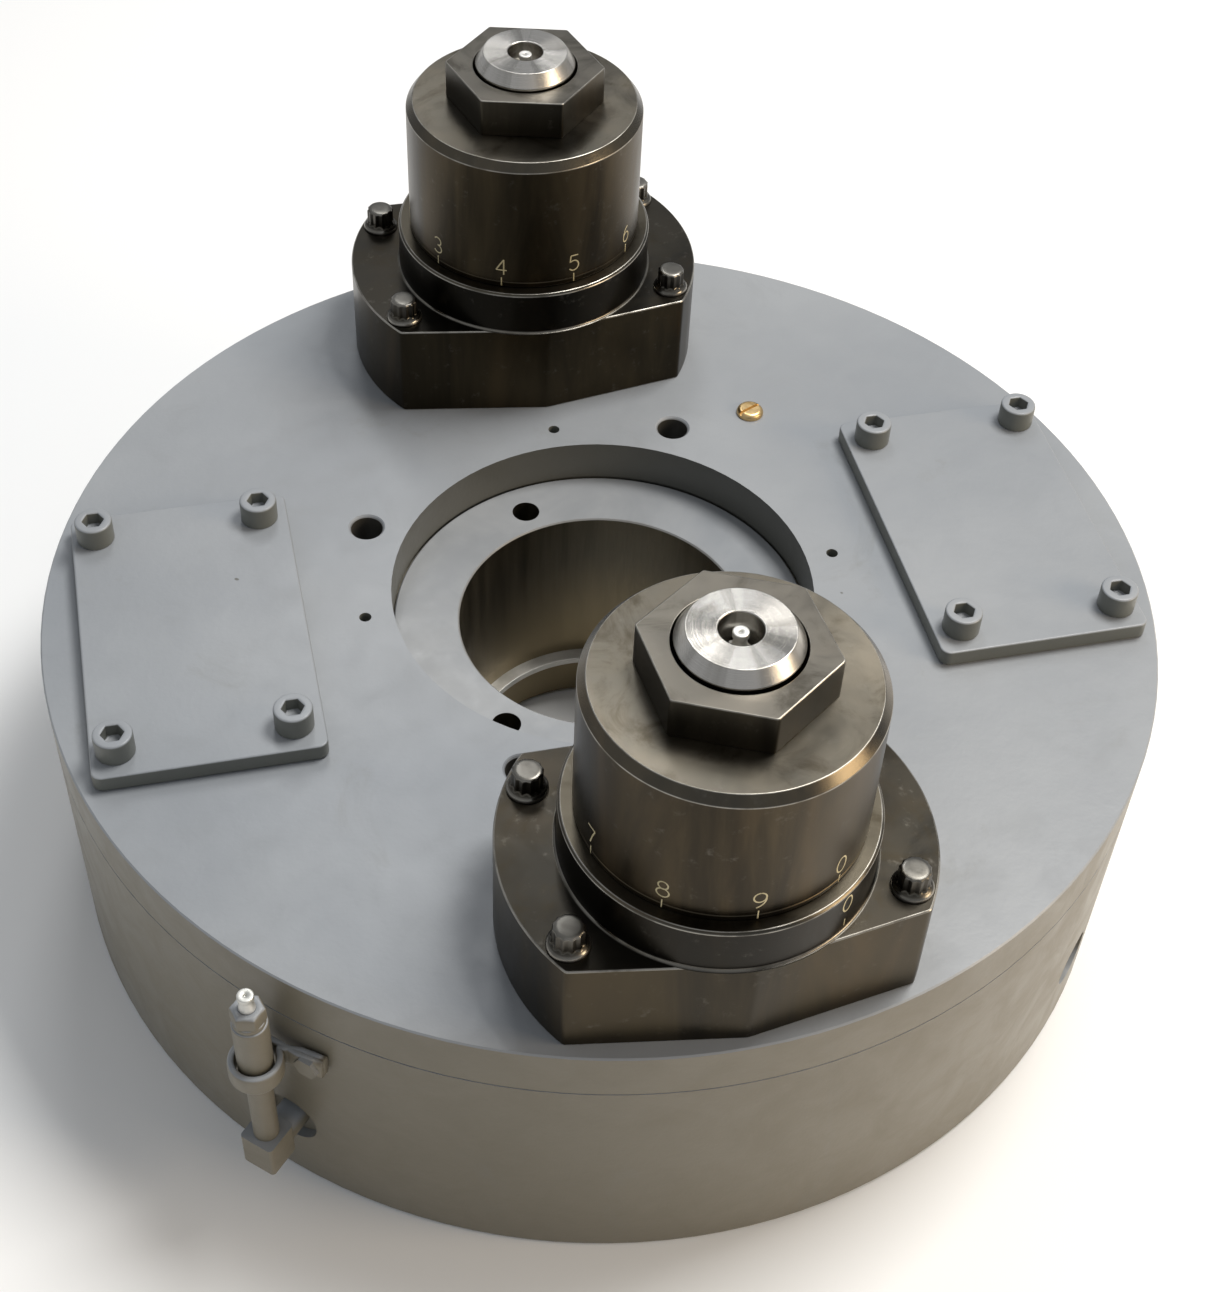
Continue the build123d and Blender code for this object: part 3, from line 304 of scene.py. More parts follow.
def shop_paint(name, bore_marks=False):
    """Sprayed grey enamel: slow drifts of tone, painted shade on upright faces that is warm on the drum wall
    as a painted reflection and neutral nearer the axis, oily smudges and orange peel. bore_marks darkens the
    walls of the tapped holes and of the centre opening."""
    f = Finish(name, Specular_IOR_Level=0.45, Coat_Weight=0.12, Coat_Roughness=0.25)
    drift = f.noise(f.place, 5.5, 4.0)
    cloud = f.noise(f.place, 34.0, 5.0, 0.6, 0.6)
    tone = f.mixed(f.between(drift, 0.3, 0.7), rgb(0.234, 0.248, 0.265), rgb(0.282, 0.295, 0.309))
    tone = f.mixed(f.between(cloud, 0.52, 0.75, 0.0, 0.35), tone, rgb(0.225, 0.236, 0.246))
    # Painted shade: upright faces get a darker tone than the tops, warm on the drum wall as a painted
    # reflection and neutral nearer the axis.
    upright = f.between(f.facing_up(), 0.25, 0.75, 0.9, 0.0)
    x, y, _ = f.axes(f.place)
    reach = f.hypotenuse(x, y)
    warm = f.between(reach, 0.277, 0.283, 0.0, 1.0)
    painted_side_shade = f.mixed(warm, rgb(0.118, 0.122, 0.104), rgb(0.165, 0.142, 0.096))
    tone = f.mixed(upright, tone, painted_side_shade)
    smear = f.noise(f.moved(f.place, scale=(1, 1, 0.4)), 11.0, 6.0, 0.68, 1.2)
    smudge = f.between(smear, 0.6, 0.78, 0.0, 0.4)
    tone = f.mixed(smudge, tone, rgb(0.18, 0.18, 0.165))
    chip = f.between(f.noise(f.place, 95.0, 1.0), 0.81, 0.83)
    tone = f.mixed(chip, tone, rgb(0.1, 0.1, 0.09))
    if bore_marks:
        bearing = f.maths("ARCTAN2", y, x)
        turn = f.maths("SUBTRACT", bearing, math.radians(TAPPED_ANGLE))
        turn = f.maths("WRAP", turn, math.pi / 4, -math.pi / 4)
        off = f.maths("MULTIPLY", turn, reach)
        span = f.maths("SUBTRACT", reach, TAPPED_PCR * MM)
        gap = f.hypotenuse(off, span)
        thread = f.between(gap, 0.0088, 0.0091, 1.0, 0.0)
        thread = f.maths("MULTIPLY", thread, f.between(f.facing_up(), 0.5, 0.9, 1.0, 0.0))
        tone = f.mixed(thread, tone, rgb(0.05, 0.047, 0.04))
        inner = f.between(reach, 0.115, 0.12, 0.9, 0.0)
        wall = f.maths("MULTIPLY", inner, f.between(f.facing_up(), 0.3, 0.7, 1.0, 0.0))
        tone = f.mixed(wall, tone, rgb(0.088, 0.088, 0.078))
    f.to("Base Color", tone)
    f.to("Roughness", f.between(cloud, 0.3, 0.75, 0.36, 0.52))
    peel = f.relief(f.noise(f.place, 420.0, 2.0), 0.00006)
    f.to("Normal", f.relief(f.noise(f.place, 60.0, 3.0), 0.00025, peel))
    return f.material


def black_oxide(name, tones, top, turned_marks=False, warm=0.5, dark_above=None):
    """Blackened steel: brown and blue-black clouds between two tones, another tone and its share on faces
    that look up as their painted lit or shaded look, polished bevels painted lighter as a painted highlight,
    lighter worn edges from the wear attribute, and fine tool marks. A height in dark_above blackens the metal
    over it, and faces that look up there get a painted light tone."""
    f = Finish(name, Metallic=1.0)
    if turned_marks:
        f.surface.inputs["Anisotropic"].default_value = 0.45
        map_uv = f.turning_map()
    drawn = f.moved(f.place, shift=(0.3, 0.1, 0.2), scale=(1, 1, 0.16))
    cloud = f.noise(drawn, 26.0, 5.0, 0.6, 0.8)
    stain = f.noise(drawn, 15.0, 4.0, 0.55, 1.2)
    up = f.facing_up()
    tone = f.mixed(f.between(cloud, 0.3, 0.72), rgb(*tones[0]), rgb(*tones[1]))
    tone = f.mixed(f.between(stain, 0.5, 0.72, 0.0, warm), tone, rgb(0.125, 0.088, 0.047))
    if dark_above:
        high = f.between(f.axes(f.place)[2], dark_above, dark_above + 0.001, 0.0, 0.85)
        upright = f.between(up, 0.3, 0.8, 1.0, 0.0)
        tone = f.mixed(f.maths("MULTIPLY", high, upright), tone, rgb(0.016, 0.015, 0.013))
    # Painted light: faces that look up take the top tone, a lit or shaded look painted in for the overhead
    # light.
    tone = f.mixed(f.between(up, 0.75, 0.95, 0.0, top[1]), tone, rgb(*top[0]))
    # Painted light and shade: the collar's up-facing top above dark_above gets a lit tone, held moderate for
    # the shade there.
    if dark_above:
        collar_top_painted_light = f.maths("MULTIPLY", high, f.between(up, 0.75, 0.95))
        tone = f.mixed(collar_top_painted_light, tone, rgb(0.095, 0.083, 0.062))
    mottle = f.noise(f.place, 30.0, 6.0, 0.66, 1.2)
    blotch = f.between(mottle, 0.48, 0.72, 0.0, f.maths("MULTIPLY", up, 0.65))
    tone = f.mixed(blotch, tone, rgb(*(0.55 * c for c in tones[1])))
    scuff = f.between(f.noise(f.place, 130.0, 4.0, 0.7), 0.58, 0.8, 0.0, 0.3)
    tone = f.mixed(scuff, tone, rgb(0.2, 0.185, 0.16))
    # Painted highlight: slopes near forty-five degrees are painted lighter as a painted sheen, as well as
    # made smoother as polished bevels.
    bevel = f.maths("MULTIPLY", f.between(up, 0.45, 0.55), f.between(up, 0.68, 0.78, 1.0, 0.0))
    tone = f.mixed(f.maths("MULTIPLY", bevel, 0.25), tone, rgb(0.24, 0.225, 0.19))
    rubbed = f.between(f.noise(f.place, 70.0, 3.0), 0.3, 0.6, 0.35, 1.0)
    edge = f.maths("MULTIPLY", f.wear(), rubbed)
    tone = f.mixed(edge, tone, rgb(0.42, 0.4, 0.36))
    f.to("Base Color", tone)
    rough = f.between(cloud, 0.25, 0.75, 0.27, 0.42)
    f.to("Roughness", f.maths("SUBTRACT", rough, f.maths("MULTIPLY", bevel, 0.14)))
    if turned_marks:
        rings = f.noise(f.moved(map_uv, scale=(1.5, 260, 1)), 5.0, 2.0)
        marks = f.relief(rings, 0.00001)
    else:
        marks = f.relief(f.noise(f.moved(f.place, scale=(1, 1, 14)), 160.0, 3.0), 0.00001)
    f.to("Normal", f.relief(cloud, 0.00006, marks))
    return f.material


def bright_turned(name):
    """Bright lathe-turned steel: fine rings that stretch highlights into spokes, broad darker sectors painted
    round the axis as painted reflection bands, and faint straw-coloured tarnish."""
    f = Finish(name, Metallic=1.0, Anisotropic=0.85)
    map_uv = f.turning_map()
    rings = f.noise(f.moved(map_uv, scale=(0.8, 420, 1)), 5.0, 3.0)
    tarnish = f.noise(f.place, 75.0, 4.0, 0.6, 0.8)
    tone = f.mixed(f.between(tarnish, 0.5, 0.78, 0.0, 0.5), rgb(0.58, 0.555, 0.515), rgb(0.42, 0.385, 0.32))
    # Painted reflection: broad darker sectors round the axis stand in for the reflected bands of the turned
    # face.
    turn = f.maths("MULTIPLY", f.axes(map_uv)[0], 2 * math.pi)
    around = {0: f.maths("COSINE", turn), 1: f.maths("SINE", turn)}
    painted_reflection_sector = f.noise(f.node("ShaderNodeCombineXYZ", around).outputs[0], 1.9, 3.0, 0.6)
    f.to("Base Color", f.mixed(f.between(painted_reflection_sector, 0.42, 0.6, 0.0, 0.55), tone, rgb(0.3, 0.285, 0.255)))
    f.to("Roughness", f.between(rings, 0.3, 0.7, 0.16, 0.28))
    f.to("Normal", f.relief(rings, 0.000012))
    return f.material


def hub_steel():
    """Hub: grey enamel on the ledge, bare dark steel in the bore with upright oil streaks, browner low
    down."""
    f = Finish("hub_ledge_and_bore")
    x, y, z = f.axes(f.place)
    reach = f.hypotenuse(x, y)
    bare = f.between(f.facing_up(), 0.3, 0.8, 1.0, 0.0)
    bare = f.maths("MAXIMUM", bare, f.between(z, 0.1395, 0.1402, 1.0, 0.0))
    drift = f.noise(f.place, 18.0, 4.0, 0.6, 0.6)
    enamel = f.mixed(f.between(drift, 0.3, 0.7), rgb(0.235, 0.247, 0.26), rgb(0.29, 0.3, 0.31))
    rub = f.between(f.maths("ADD", reach, f.maths("MULTIPLY", drift, 0.004)), 0.0785, 0.0765, 0.0, 0.6)
    enamel = f.mixed(rub, enamel, rgb(0.16, 0.15, 0.13))
    streak = f.noise(f.moved(f.place, scale=(1, 1, 0.06)), 90.0, 4.0, 0.65)
    steel = f.mixed(f.between(streak, 0.3, 0.75), rgb(0.07, 0.064, 0.049), rgb(0.125, 0.114, 0.088))
    steel = f.mixed(f.between(z, 0.04, 0.12, 0.8, 0.0), steel, rgb(0.27, 0.215, 0.125))
    f.to("Base Color", f.mixed(bare, enamel, steel))
    f.to("Metallic", f.maths("MULTIPLY", bare, 0.95))
    f.to("Roughness", f.between(streak, 0.3, 0.7, 0.3, 0.46))
    f.to("Normal", f.relief(f.noise(f.place, 380.0, 2.0), 0.00003))
    return f.material


def plain_metal(name, dark, light, metal=1.0, rough=(0.3, 0.45), grain=180.0):
    """Cut or plated metal: two tones in clouds, roughness that follows them, and a fine grain."""
    f = Finish(name, Metallic=metal)
    cloud = f.noise(f.place, 55.0, 5.0, 0.6, 0.8)
    tone = f.mixed(f.between(cloud, 0.3, 0.7), rgb(*dark), rgb(*light))
    edge = f.maths("MULTIPLY", f.wear(), 0.5)
    f.to("Base Color", f.mixed(edge, tone, rgb(*(min(1.0, c * 1.8) for c in light))))
    f.to("Roughness", f.between(cloud, 0.3, 0.7, *rough))
    f.to("Normal", f.relief(f.noise(f.place, grain, 3.0), 0.00004))
    return f.material


PAINT = shop_paint("shop_grey_enamel")
PLATE_PAINT = shop_paint("plate_grey_enamel", bore_marks=True)
# The second entry of each oxide is the painted lit or shaded tone of its faces that look up.
SLEEVE_OXIDE = black_oxide("dial_sleeve_oxide", [(0.032, 0.026, 0.018), (0.082, 0.063, 0.037)],
                           [(0.165, 0.151, 0.124), 0.72], turned_marks=True, warm=0.7)
FLANGE_OXIDE = black_oxide("flange_oxide", [(0.03, 0.025, 0.017), (0.066, 0.052, 0.031)],
                           [(0.032, 0.03, 0.026), 0.8], warm=0.5, dark_above=(PLATE_TOP + 54.8) * MM)
BOLT_OXIDE = black_oxide("bolt_oxide", [(0.03, 0.028, 0.024), (0.06, 0.054, 0.044)],
                         [(0.15, 0.143, 0.128), 0.8], warm=0.2)
HEX_OXIDE = black_oxide("hex_oxide", [(0.034, 0.031, 0.025), (0.07, 0.061, 0.045)],
                        [(0.165, 0.152, 0.13), 0.8], warm=0.35)
NOSE_STEEL = bright_turned("spindle_nose_steel")
HUB_STEEL = hub_steel()
INLAY_GOLD = plain_metal("engraving_inlay", (0.42, 0.36, 0.2), (0.6, 0.52, 0.32), 0.0, (0.5, 0.65))
BRASS = plain_metal("filler_plug_brass", (0.5, 0.33, 0.14), (0.72, 0.52, 0.26), 1.0, (0.25, 0.4))
ZINC = plain_metal("nipple_zinc", (0.56, 0.56, 0.52), (0.72, 0.71, 0.68), 0.75, (0.36, 0.5))
RING_STEEL = plain_metal("bore_ring_steel", (0.5, 0.49, 0.46), (0.66, 0.64, 0.6), 0.6, (0.35, 0.5))
SOCKET_STEEL = plain_metal("bearing_and_gear_steel", (0.3, 0.29, 0.27), (0.45, 0.44, 0.41), 1.0)
SEAL_RUBBER = plain_metal("seal_rubber_black", (0.01, 0.01, 0.01), (0.022, 0.022, 0.02), 0.0, (0.5, 0.7))
FELT = plain_metal("hub_felt", (0.2, 0.18, 0.14), (0.3, 0.27, 0.21), 0.0, (0.85, 0.95), 900.0)
GASKET = plain_metal("gasket_paper", (0.1, 0.11, 0.1), (0.16, 0.16, 0.14), 0.0, (0.7, 0.85), 600.0)

SLOT_FINISH = {
    "grey_paint": PAINT, "zinc_steel": ZINC, "brass": BRASS, "black_oxide": FLANGE_OXIDE,
    "hub_steel": HUB_STEEL, "nose_steel": SOCKET_STEEL, "machined_steel": SOCKET_STEEL,
    "bearing_steel": SOCKET_STEEL, "felt": FELT, "seal_rubber": SEAL_RUBBER, "gasket_paper": GASKET,
}
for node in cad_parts.values():
    for spot in node.material_slots:
        spot.material = SLOT_FINISH[spot.material.name.split(".")[0]]
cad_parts["top_plate"].material_slots[0].material = PLATE_PAINT
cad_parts["bore_retaining_ring"].material_slots[0].material = RING_STEEL

# ------------------------------------------------------------------ spindle units

FLANGE_R, FLANGE_T, FLAT_Y = 97.0, 54.6, 63.0
CORNER, APEX_Y = (79.1, -56.2), -68.6
COLLAR_R, COLLAR_H, COLLAR_TOP = 69.8, 77.2, 80.0
SLEEVE_R, SLEEVE_FOOT, SLEEVE_CHAMFER, SLEEVE_TOP = 63.4, 80.4, 152.4, 156.9
SPIGOT_R, SPIGOT_L, GUIDE_R, QUILL_BORE, BORE_STEP = 61.9, 28.0, 57.95, 48.15, 61.0
SKIRT_BORE, SLEEVE_BORE, SLEEVE_LOW, RING_R, RING_LOW, RING_HIGH = 57.6, 48.3, 62.0, 54.7, 66.7, 70.3
HEX_AF, HEX_H, HEX_TAIL_R, HEX_BORE = 72.8, 20.3, 34.0, 27.4
TAIL_LOW, SLEEVE_SHOULDER = 144.0, 141.0
JOURNAL_R, PINION_SEAT_R, SHAFT_R, NOSE_R, NOSE_TIP_R = 17.5, 19.0, 20.0, 26.3, 22.1
NOSE_LOW, NOSE_BASE, NOSE_TOP, RECESS_R, RECESS_FLOOR = 130.0, 178.7, 185.2, 9.2, 169.2
FIGURE_H, FIGURE_AT, INDEX_AT = 9.6, 93.0, 72.3
HEX_PHASE = {"front": 35.4, "rear": 46.0}
FIGURE_START = {"front": -55.7, "rear": 103.6}
vee_turn = math.degrees(math.atan2(CORNER[1] - APEX_Y, CORNER[0]))
VEE_REACH = -APEX_Y * math.cos(math.radians(vee_turn))


def flange_plan(inset):
    """Flange outline drawn in by an inset: a round, one far flat and the two faces of the near point."""
    sides = [(90.0, FLAT_Y - inset), (-90 + vee_turn, VEE_REACH - inset), (-90 - vee_turn, VEE_REACH - inset)]
    return faced(sides, FLANGE_R - inset, soft=420.0, around=576)


def make_flange(unit, y):
    """Flange block, its collar with a hollow foot fillet, the bore and the spigot below, as one closed
    stack."""
    ease = [(0.9 * (1 - math.cos(a)), 0.9 * (1 - math.sin(a)), math.sin(2 * a))
            for a in np.linspace(0, math.pi / 2, 5)]
    rows = [(flange_plan(0.9), 0.0, 0.0), (flange_plan(0.25), 0.25, 0.3), (flange_plan(0.0), 0.9, 0.0)]
    rows += [(flange_plan(inset), FLANGE_T - drop, wear) for inset, drop, wear in ease]
    fillet = np.linspace(0, math.pi / 2, 7)
    rows += [(COLLAR_R + 1.5 * (1 - math.sin(a)), FLANGE_T + 1.5 * (1 - math.cos(a)), 0.4 * math.sin(2 * a))
             for a in fillet]
    tail = softened([
        (COLLAR_R, COLLAR_H + 1.6, 0.5), (COLLAR_R - 1.2, COLLAR_TOP, 0.4), (GUIDE_R, COLLAR_TOP, 0.3),
        (GUIDE_R, BORE_STEP, 0), (QUILL_BORE, BORE_STEP, 0.3), (QUILL_BORE, -SPIGOT_L, 0.3),
        (SPIGOT_R, -SPIGOT_L, 0.8), (SPIGOT_R, -0.05, 0),
    ])
    rows += [(r, h, w) for r, h, w in tail]
    part = stacked([(r, PLATE_TOP + h, w) for r, h, w in rows], (0, y), around=576)
    skin(f"flange_body_{unit}", [part], "housing", FLANGE_OXIDE, [f"spindle_flange_{unit}"])


def make_sleeve(unit, y):
    """Numbered dial sleeve: turned skirt, retaining groove, cut line near the foot and a bevel at the top."""
    section = softened([
        (SLEEVE_BORE, SLEEVE_LOW, 0.3), (SKIRT_BORE, SLEEVE_LOW, 0.4), (SKIRT_BORE, RING_LOW, 0),
        (RING_R, RING_LOW, 0), (RING_R, RING_HIGH, 0), (SKIRT_BORE, RING_HIGH, 0),
        (SKIRT_BORE, SLEEVE_FOOT, 0),
        (SLEEVE_R - 0.3, SLEEVE_FOOT, 0.5), (SLEEVE_R, 83.2, 0.0), (SLEEVE_R - 0.45, 83.6, 0.0),
        (SLEEVE_R, 84.0, 0.0), (SLEEVE_R, SLEEVE_CHAMFER, 0.45), (59.9, SLEEVE_TOP, 0.4),
        (HEX_TAIL_R, SLEEVE_TOP, 0.3), (HEX_TAIL_R, SLEEVE_SHOULDER, 0), (SLEEVE_BORE, SLEEVE_SHOULDER, 0),
    ])
    section[:, 1] += PLATE_TOP
    sleeve = turned(section, (0, y), 256)
    skin(f"dial_sleeve_body_{unit}", [sleeve], f"dial_{unit}", SLEEVE_OXIDE,
         [f"dial_sleeve_{unit}"])


def tick(radius, y, direction, low, high):
    """A short upright line on a unit's cylinder, between two heights above the plate."""
    line = np.stack([np.zeros(6), np.linspace(low, high, 6) + PLATE_TOP], -1)
    return engraved(line, radius, (0, y), direction, 0.7)


def make_dial_marks(unit, y):
    """Ten numerals and their ticks round the sleeve foot, and the zero and index line on the fixed collar."""
    marks = []
    for figure in range(10):
        direction = FIGURE_START[unit] + 36 * figure
        marks += numeral(figure, SLEEVE_R, (0, y), direction, PLATE_TOP + FIGURE_AT, FIGURE_H)
        marks.append(tick(SLEEVE_R, y, direction, 80.9, 86.2))
    skin(f"dial_figures_{unit}", marks, f"dial_{unit}", INLAY_GOLD)
    zero_at = FIGURE_START[unit]
    index = numeral(0, COLLAR_R, (0, y), zero_at, PLATE_TOP + INDEX_AT, FIGURE_H)
    index.append(tick(COLLAR_R, y, zero_at, 57.0, 61.5))
    skin(f"collar_index_{unit}", index, "housing", INLAY_GOLD)


def hexagon(across, phase, inset=0.0, around=288, soft=260.0):
    """Hexagon outline with faces across flats apart, its corners slightly eased."""
    return faced([(phase + 30 + 60 * k, across / 2 - inset) for k in range(6)], None, soft, around)


def make_hex(unit, y):
    """Hex collar that turns the dial: prism with worn edges, a bevelled bore and the threaded tail below."""
    phase = HEX_PHASE[unit]
    top = SLEEVE_TOP + HEX_H
    rows = [(HEX_BORE, TAIL_LOW, 0), (HEX_TAIL_R, TAIL_LOW, 0), (HEX_TAIL_R, SLEEVE_TOP + 0.02, 0)]
    for inset, drop, wear in ((0.5, 0.02, 0), (0.1, 0.2, 0.2), (0.0, 0.6, 0.0)):
        rows.append((hexagon(HEX_AF, phase, inset), SLEEVE_TOP + drop, wear))
    for inset, drop, wear in ((0.0, 0.6, 0.0), (0.12, 0.2, 0.8), (0.35, 0.04, 0.6), (0.7, 0.0, 0.0)):
        rows.append((hexagon(HEX_AF, phase, inset), top - drop, wear))
    rows += [(HEX_BORE + 0.5, top, 0.0), (HEX_BORE + 0.15, top - 0.1, 0.6), (HEX_BORE, top - 0.5, 0.0)]
    part = stacked([(r, PLATE_TOP + h, w) for r, h, w in rows], (0, y))
    skin(f"dial_hex_body_{unit}", [part], f"dial_{unit}", HEX_OXIDE, [f"dial_hex_{unit}"])


def make_spindle(unit, y):
    """Whole spindle as one turned surface, from the journal in the drum floor to the bright bevelled nose."""
    journal_low, pinion_low, pinion_high = 18 - PLATE_TOP, 58 - PLATE_TOP, 90 - PLATE_TOP
    section = softened([
        (0.0, journal_low, 0), (JOURNAL_R, journal_low, 0.8), (JOURNAL_R, pinion_low, 0),
        (PINION_SEAT_R, pinion_low, 0.3), (PINION_SEAT_R, pinion_high, 0), (SHAFT_R, pinion_high, 0.3),
        (SHAFT_R, NOSE_LOW, 0), (NOSE_R, NOSE_LOW, 0.5), (NOSE_R, NOSE_BASE, 0.35),
        (NOSE_TIP_R, NOSE_TOP, 0.3), (RECESS_R + 0.4, NOSE_TOP, 0.25), (RECESS_R, NOSE_TOP - 0.4, 0.1),
        (RECESS_R, RECESS_FLOOR, 0), (0.0, RECESS_FLOOR, 0),
    ])
    section[:, 1] += PLATE_TOP
    section[:, 0] = np.maximum(section[:, 0], 0.0)
    spindle = turned(section, (0, y), 192)
    skin(f"spindle_turned_{unit}", [spindle], f"spindle_{unit}", NOSE_STEEL,
         [f"spindle_{unit}"], poles=True)


def nipple_rows(seat, hex_across, hex_height, girth):
    """Grease nipple from its hex up: neck, flat button head and the small hole of the check ball."""
    rows = [(0.0, seat, 0)]
    if hex_height:
        rows += [(hexagon(hex_across, 0, 0.2, 96), seat, 0), (hexagon(hex_across, 0, 0.0, 96), seat + 0.2, 0),
                 (hexagon(hex_across, 0, 0.0, 96), seat + hex_height - 0.5, 0.3),
                 (hexagon(hex_across, 0, 0.5, 96), seat + hex_height, 0.3)]
    foot = seat + hex_height
    profile = [(3.55, 0.05), (3.5, 0.5), (3.0, 3.4), (2.5, 4.6), (2.45, 5.5), (2.6, 6.0), (3.2, 6.5),
               (3.38, 6.8), (3.42, 8.9), (3.3, 9.25), (2.9, 9.4), (0.85, 9.4), (0.7, 9.25), (0.6, 8.4),
               (0.0, 8.3)]
    return rows + [(r * girth, foot + h, 0) for r, h in profile]


def make_nipple(unit, y):
    """Grease nipple sunk in the nose recess."""
    seat = PLATE_TOP + RECESS_FLOOR
    rows = nipple_rows(seat, 9.6, 5.0, 1.0)
    skin(f"nipple_body_{unit}", [stacked(rows, (0, y), 96)], f"spindle_{unit}", ZINC,
         [f"nose_nipple_{unit}"], poles=True)


for unit_name, unit_y in UNITS.items():
    make_flange(unit_name, unit_y)
    make_sleeve(unit_name, unit_y)
    make_dial_marks(unit_name, unit_y)
    make_hex(unit_name, unit_y)
    make_spindle(unit_name, unit_y)
    make_nipple(unit_name, unit_y)

# ------------------------------------------------------------------ screws and covers

HEAD_R, HEAD_H, SHANK_R, SOCKET_AF = 9.525, 12.7, 6.35, 9.525
FLANGE_BOLT_XY = (75.0, 42.5)
COVER_X, COVER_Y, COVER_T, COVER_CORNER, GASKET_T = (154.2, 265.4), 89.7, 9.525, 5.0, 0.8
COVER_SCREW_X, COVER_SCREW_Y = (168.7, 253.0), 73.5


def twelve_point(apothem, around=144):
    """Twelve-point wrench outline: the larger of two hexagons turned thirty degrees apart at every angle."""
    return np.maximum(hexagon(2 * apothem, 0, 0, around), hexagon(2 * apothem, 30, 0, around))


def make_flange_bolts():
    """Eight twelve-point flanged bolts: shank, flared washer, fluted head and a nearly flat top."""
    seat = PLATE_TOP + FLANGE_T
    head = twelve_point(6.35)
    rounder = np.minimum(head, 6.6)
    rows = [(0.0, -75.0, 0), (5.6, -75.0, 0), (SHANK_R, -74.2, 0), (SHANK_R, 0.0, 0), (9.2, 0.02, 0),
            (9.45, 0.2, 0.4), (HEAD_R, 0.6, 0.8), (9.45, 1.5, 0.8), (9.0, 2.3, 0.4), (8.2, 3.0, 0.1),
            (7.5, 3.5, 0), (head + 0.25, 4.1, 0), (head, 4.6, 0), (head, 11.4, 0.2),
            (rounder - 0.15, 12.1, 0.6), (rounder - 0.8, 12.5, 0.4), (4.6, 12.66, 0.1), (2.6, HEAD_H, 0),
            (0.0, HEAD_H, 0)]
    part = stacked([(r, seat + h, w) for r, h, w in rows], (0, 0), 144)
    off_x, off_y = FLANGE_BOLT_XY
    spots = [(sx * off_x, y + sy * off_y) for y in UNITS.values() for sx in (-1, 1) for sy in (-1, 1)]
    skin("flange_bolt_set", copies(part, spots), "housing", BOLT_OXIDE, ["flange_bolts"],
         poles=True)


def make_cover_screws():
    """Eight socket head screws under the enamel: soft-edged heads with a deep hex socket."""
    seat = PLATE_TOP + COVER_T
    socket = hexagon(SOCKET_AF, 0, 0, 144)
    rows = [(0.0, -27.5, 0), (SHANK_R, -27.5, 0), (SHANK_R, 0.0, 0), (9.1, 0.02, 0), (9.45, 0.25, 0),
            (HEAD_R, 0.6, 0), (HEAD_R, 11.3, 0), (9.38, 12.0, 0.4), (8.95, 12.5, 0.6), (8.3, HEAD_H, 0.3),
            (6.2, HEAD_H, 0), (socket + 0.35, 12.62, 0.2), (socket, 12.1, 0), (socket, 6.4, 0), (3.9, 6.0, 0),
            (0.0, 5.3, 0)]
    part = stacked([(r, seat + h, w) for r, h, w in rows], (0, 0), 144)
    spots = [(sx * x, sy * COVER_SCREW_Y) for sx in (-1, 1) for x in COVER_SCREW_X for sy in (-1, 1)]
    skin("cover_screw_set", copies(part, spots), "housing", PAINT, ["cover_screws"], poles=True)


def rounded_plate(x_range, y_range, corner, insets):
    """Rings of a plate with round corners: at each (inset, height) the corner arcs keep their centres and
    shrink by the inset, so the outline is centre +- (half - corner) + (corner - inset)(cos a, sin a)."""
    turn = np.linspace(0, math.pi / 2, 9)
    angle = np.concatenate([turn + k * math.pi / 2 for k in range(4)])
    sign_x = np.repeat([1, -1, -1, 1], 9)
    sign_y = np.repeat([1, 1, -1, -1], 9)
    cx, cy = sum(x_range) / 2, sum(y_range) / 2
    half_x, half_y = (x_range[1] - x_range[0]) / 2 - corner, (y_range[1] - y_range[0]) / 2 - corner
    inset = np.array([i for i, _, _ in insets])[:, None]
    x = cx + sign_x * half_x + (corner - inset) * np.cos(angle)
    y = cy + sign_y * half_y + (corner - inset) * np.sin(angle)
    z = np.array([h for _, h, _ in insets])[:, None] + 0 * x
    return np.stack([x, y, z], -1), False, np.array([w for _, _, w in insets])


def make_cover(side, name):
    """Access cover: enamelled plate with eased edges."""
    x_range = sorted(side * x for x in COVER_X)
    low, high = PLATE_TOP + GASKET_T, PLATE_TOP + COVER_T
    insets = [(0.4, low, 0), (0.0, low + 0.5, 0), (0.0, high - 1.1, 0), (0.12, high - 0.55, 0.3),
              (0.45, high - 0.18, 0.5), (1.1, high, 0)]
    plate = rounded_plate(x_range, (-COVER_Y, COVER_Y), COVER_CORNER, insets)
    skin(f"cover_plate_{name}", [plate], "housing", PAINT, [f"access_cover_{name}"])


make_flange_bolts()
make_cover_screws()
make_cover(-1, "left")
make_cover(1, "right")

# ------------------------------------------------------------------ grease line

LUBE_TURN = math.radians(LUBE_ANGLE)
LUBE_SPOT = (LUBE_REACH * math.cos(LUBE_TURN), LUBE_REACH * math.sin(LUBE_TURN))
COUPLING_LOW, COUPLING_HIGH, ADAPTOR_TOP, CLIP_AT = 108, 151, 162.0, 116.0


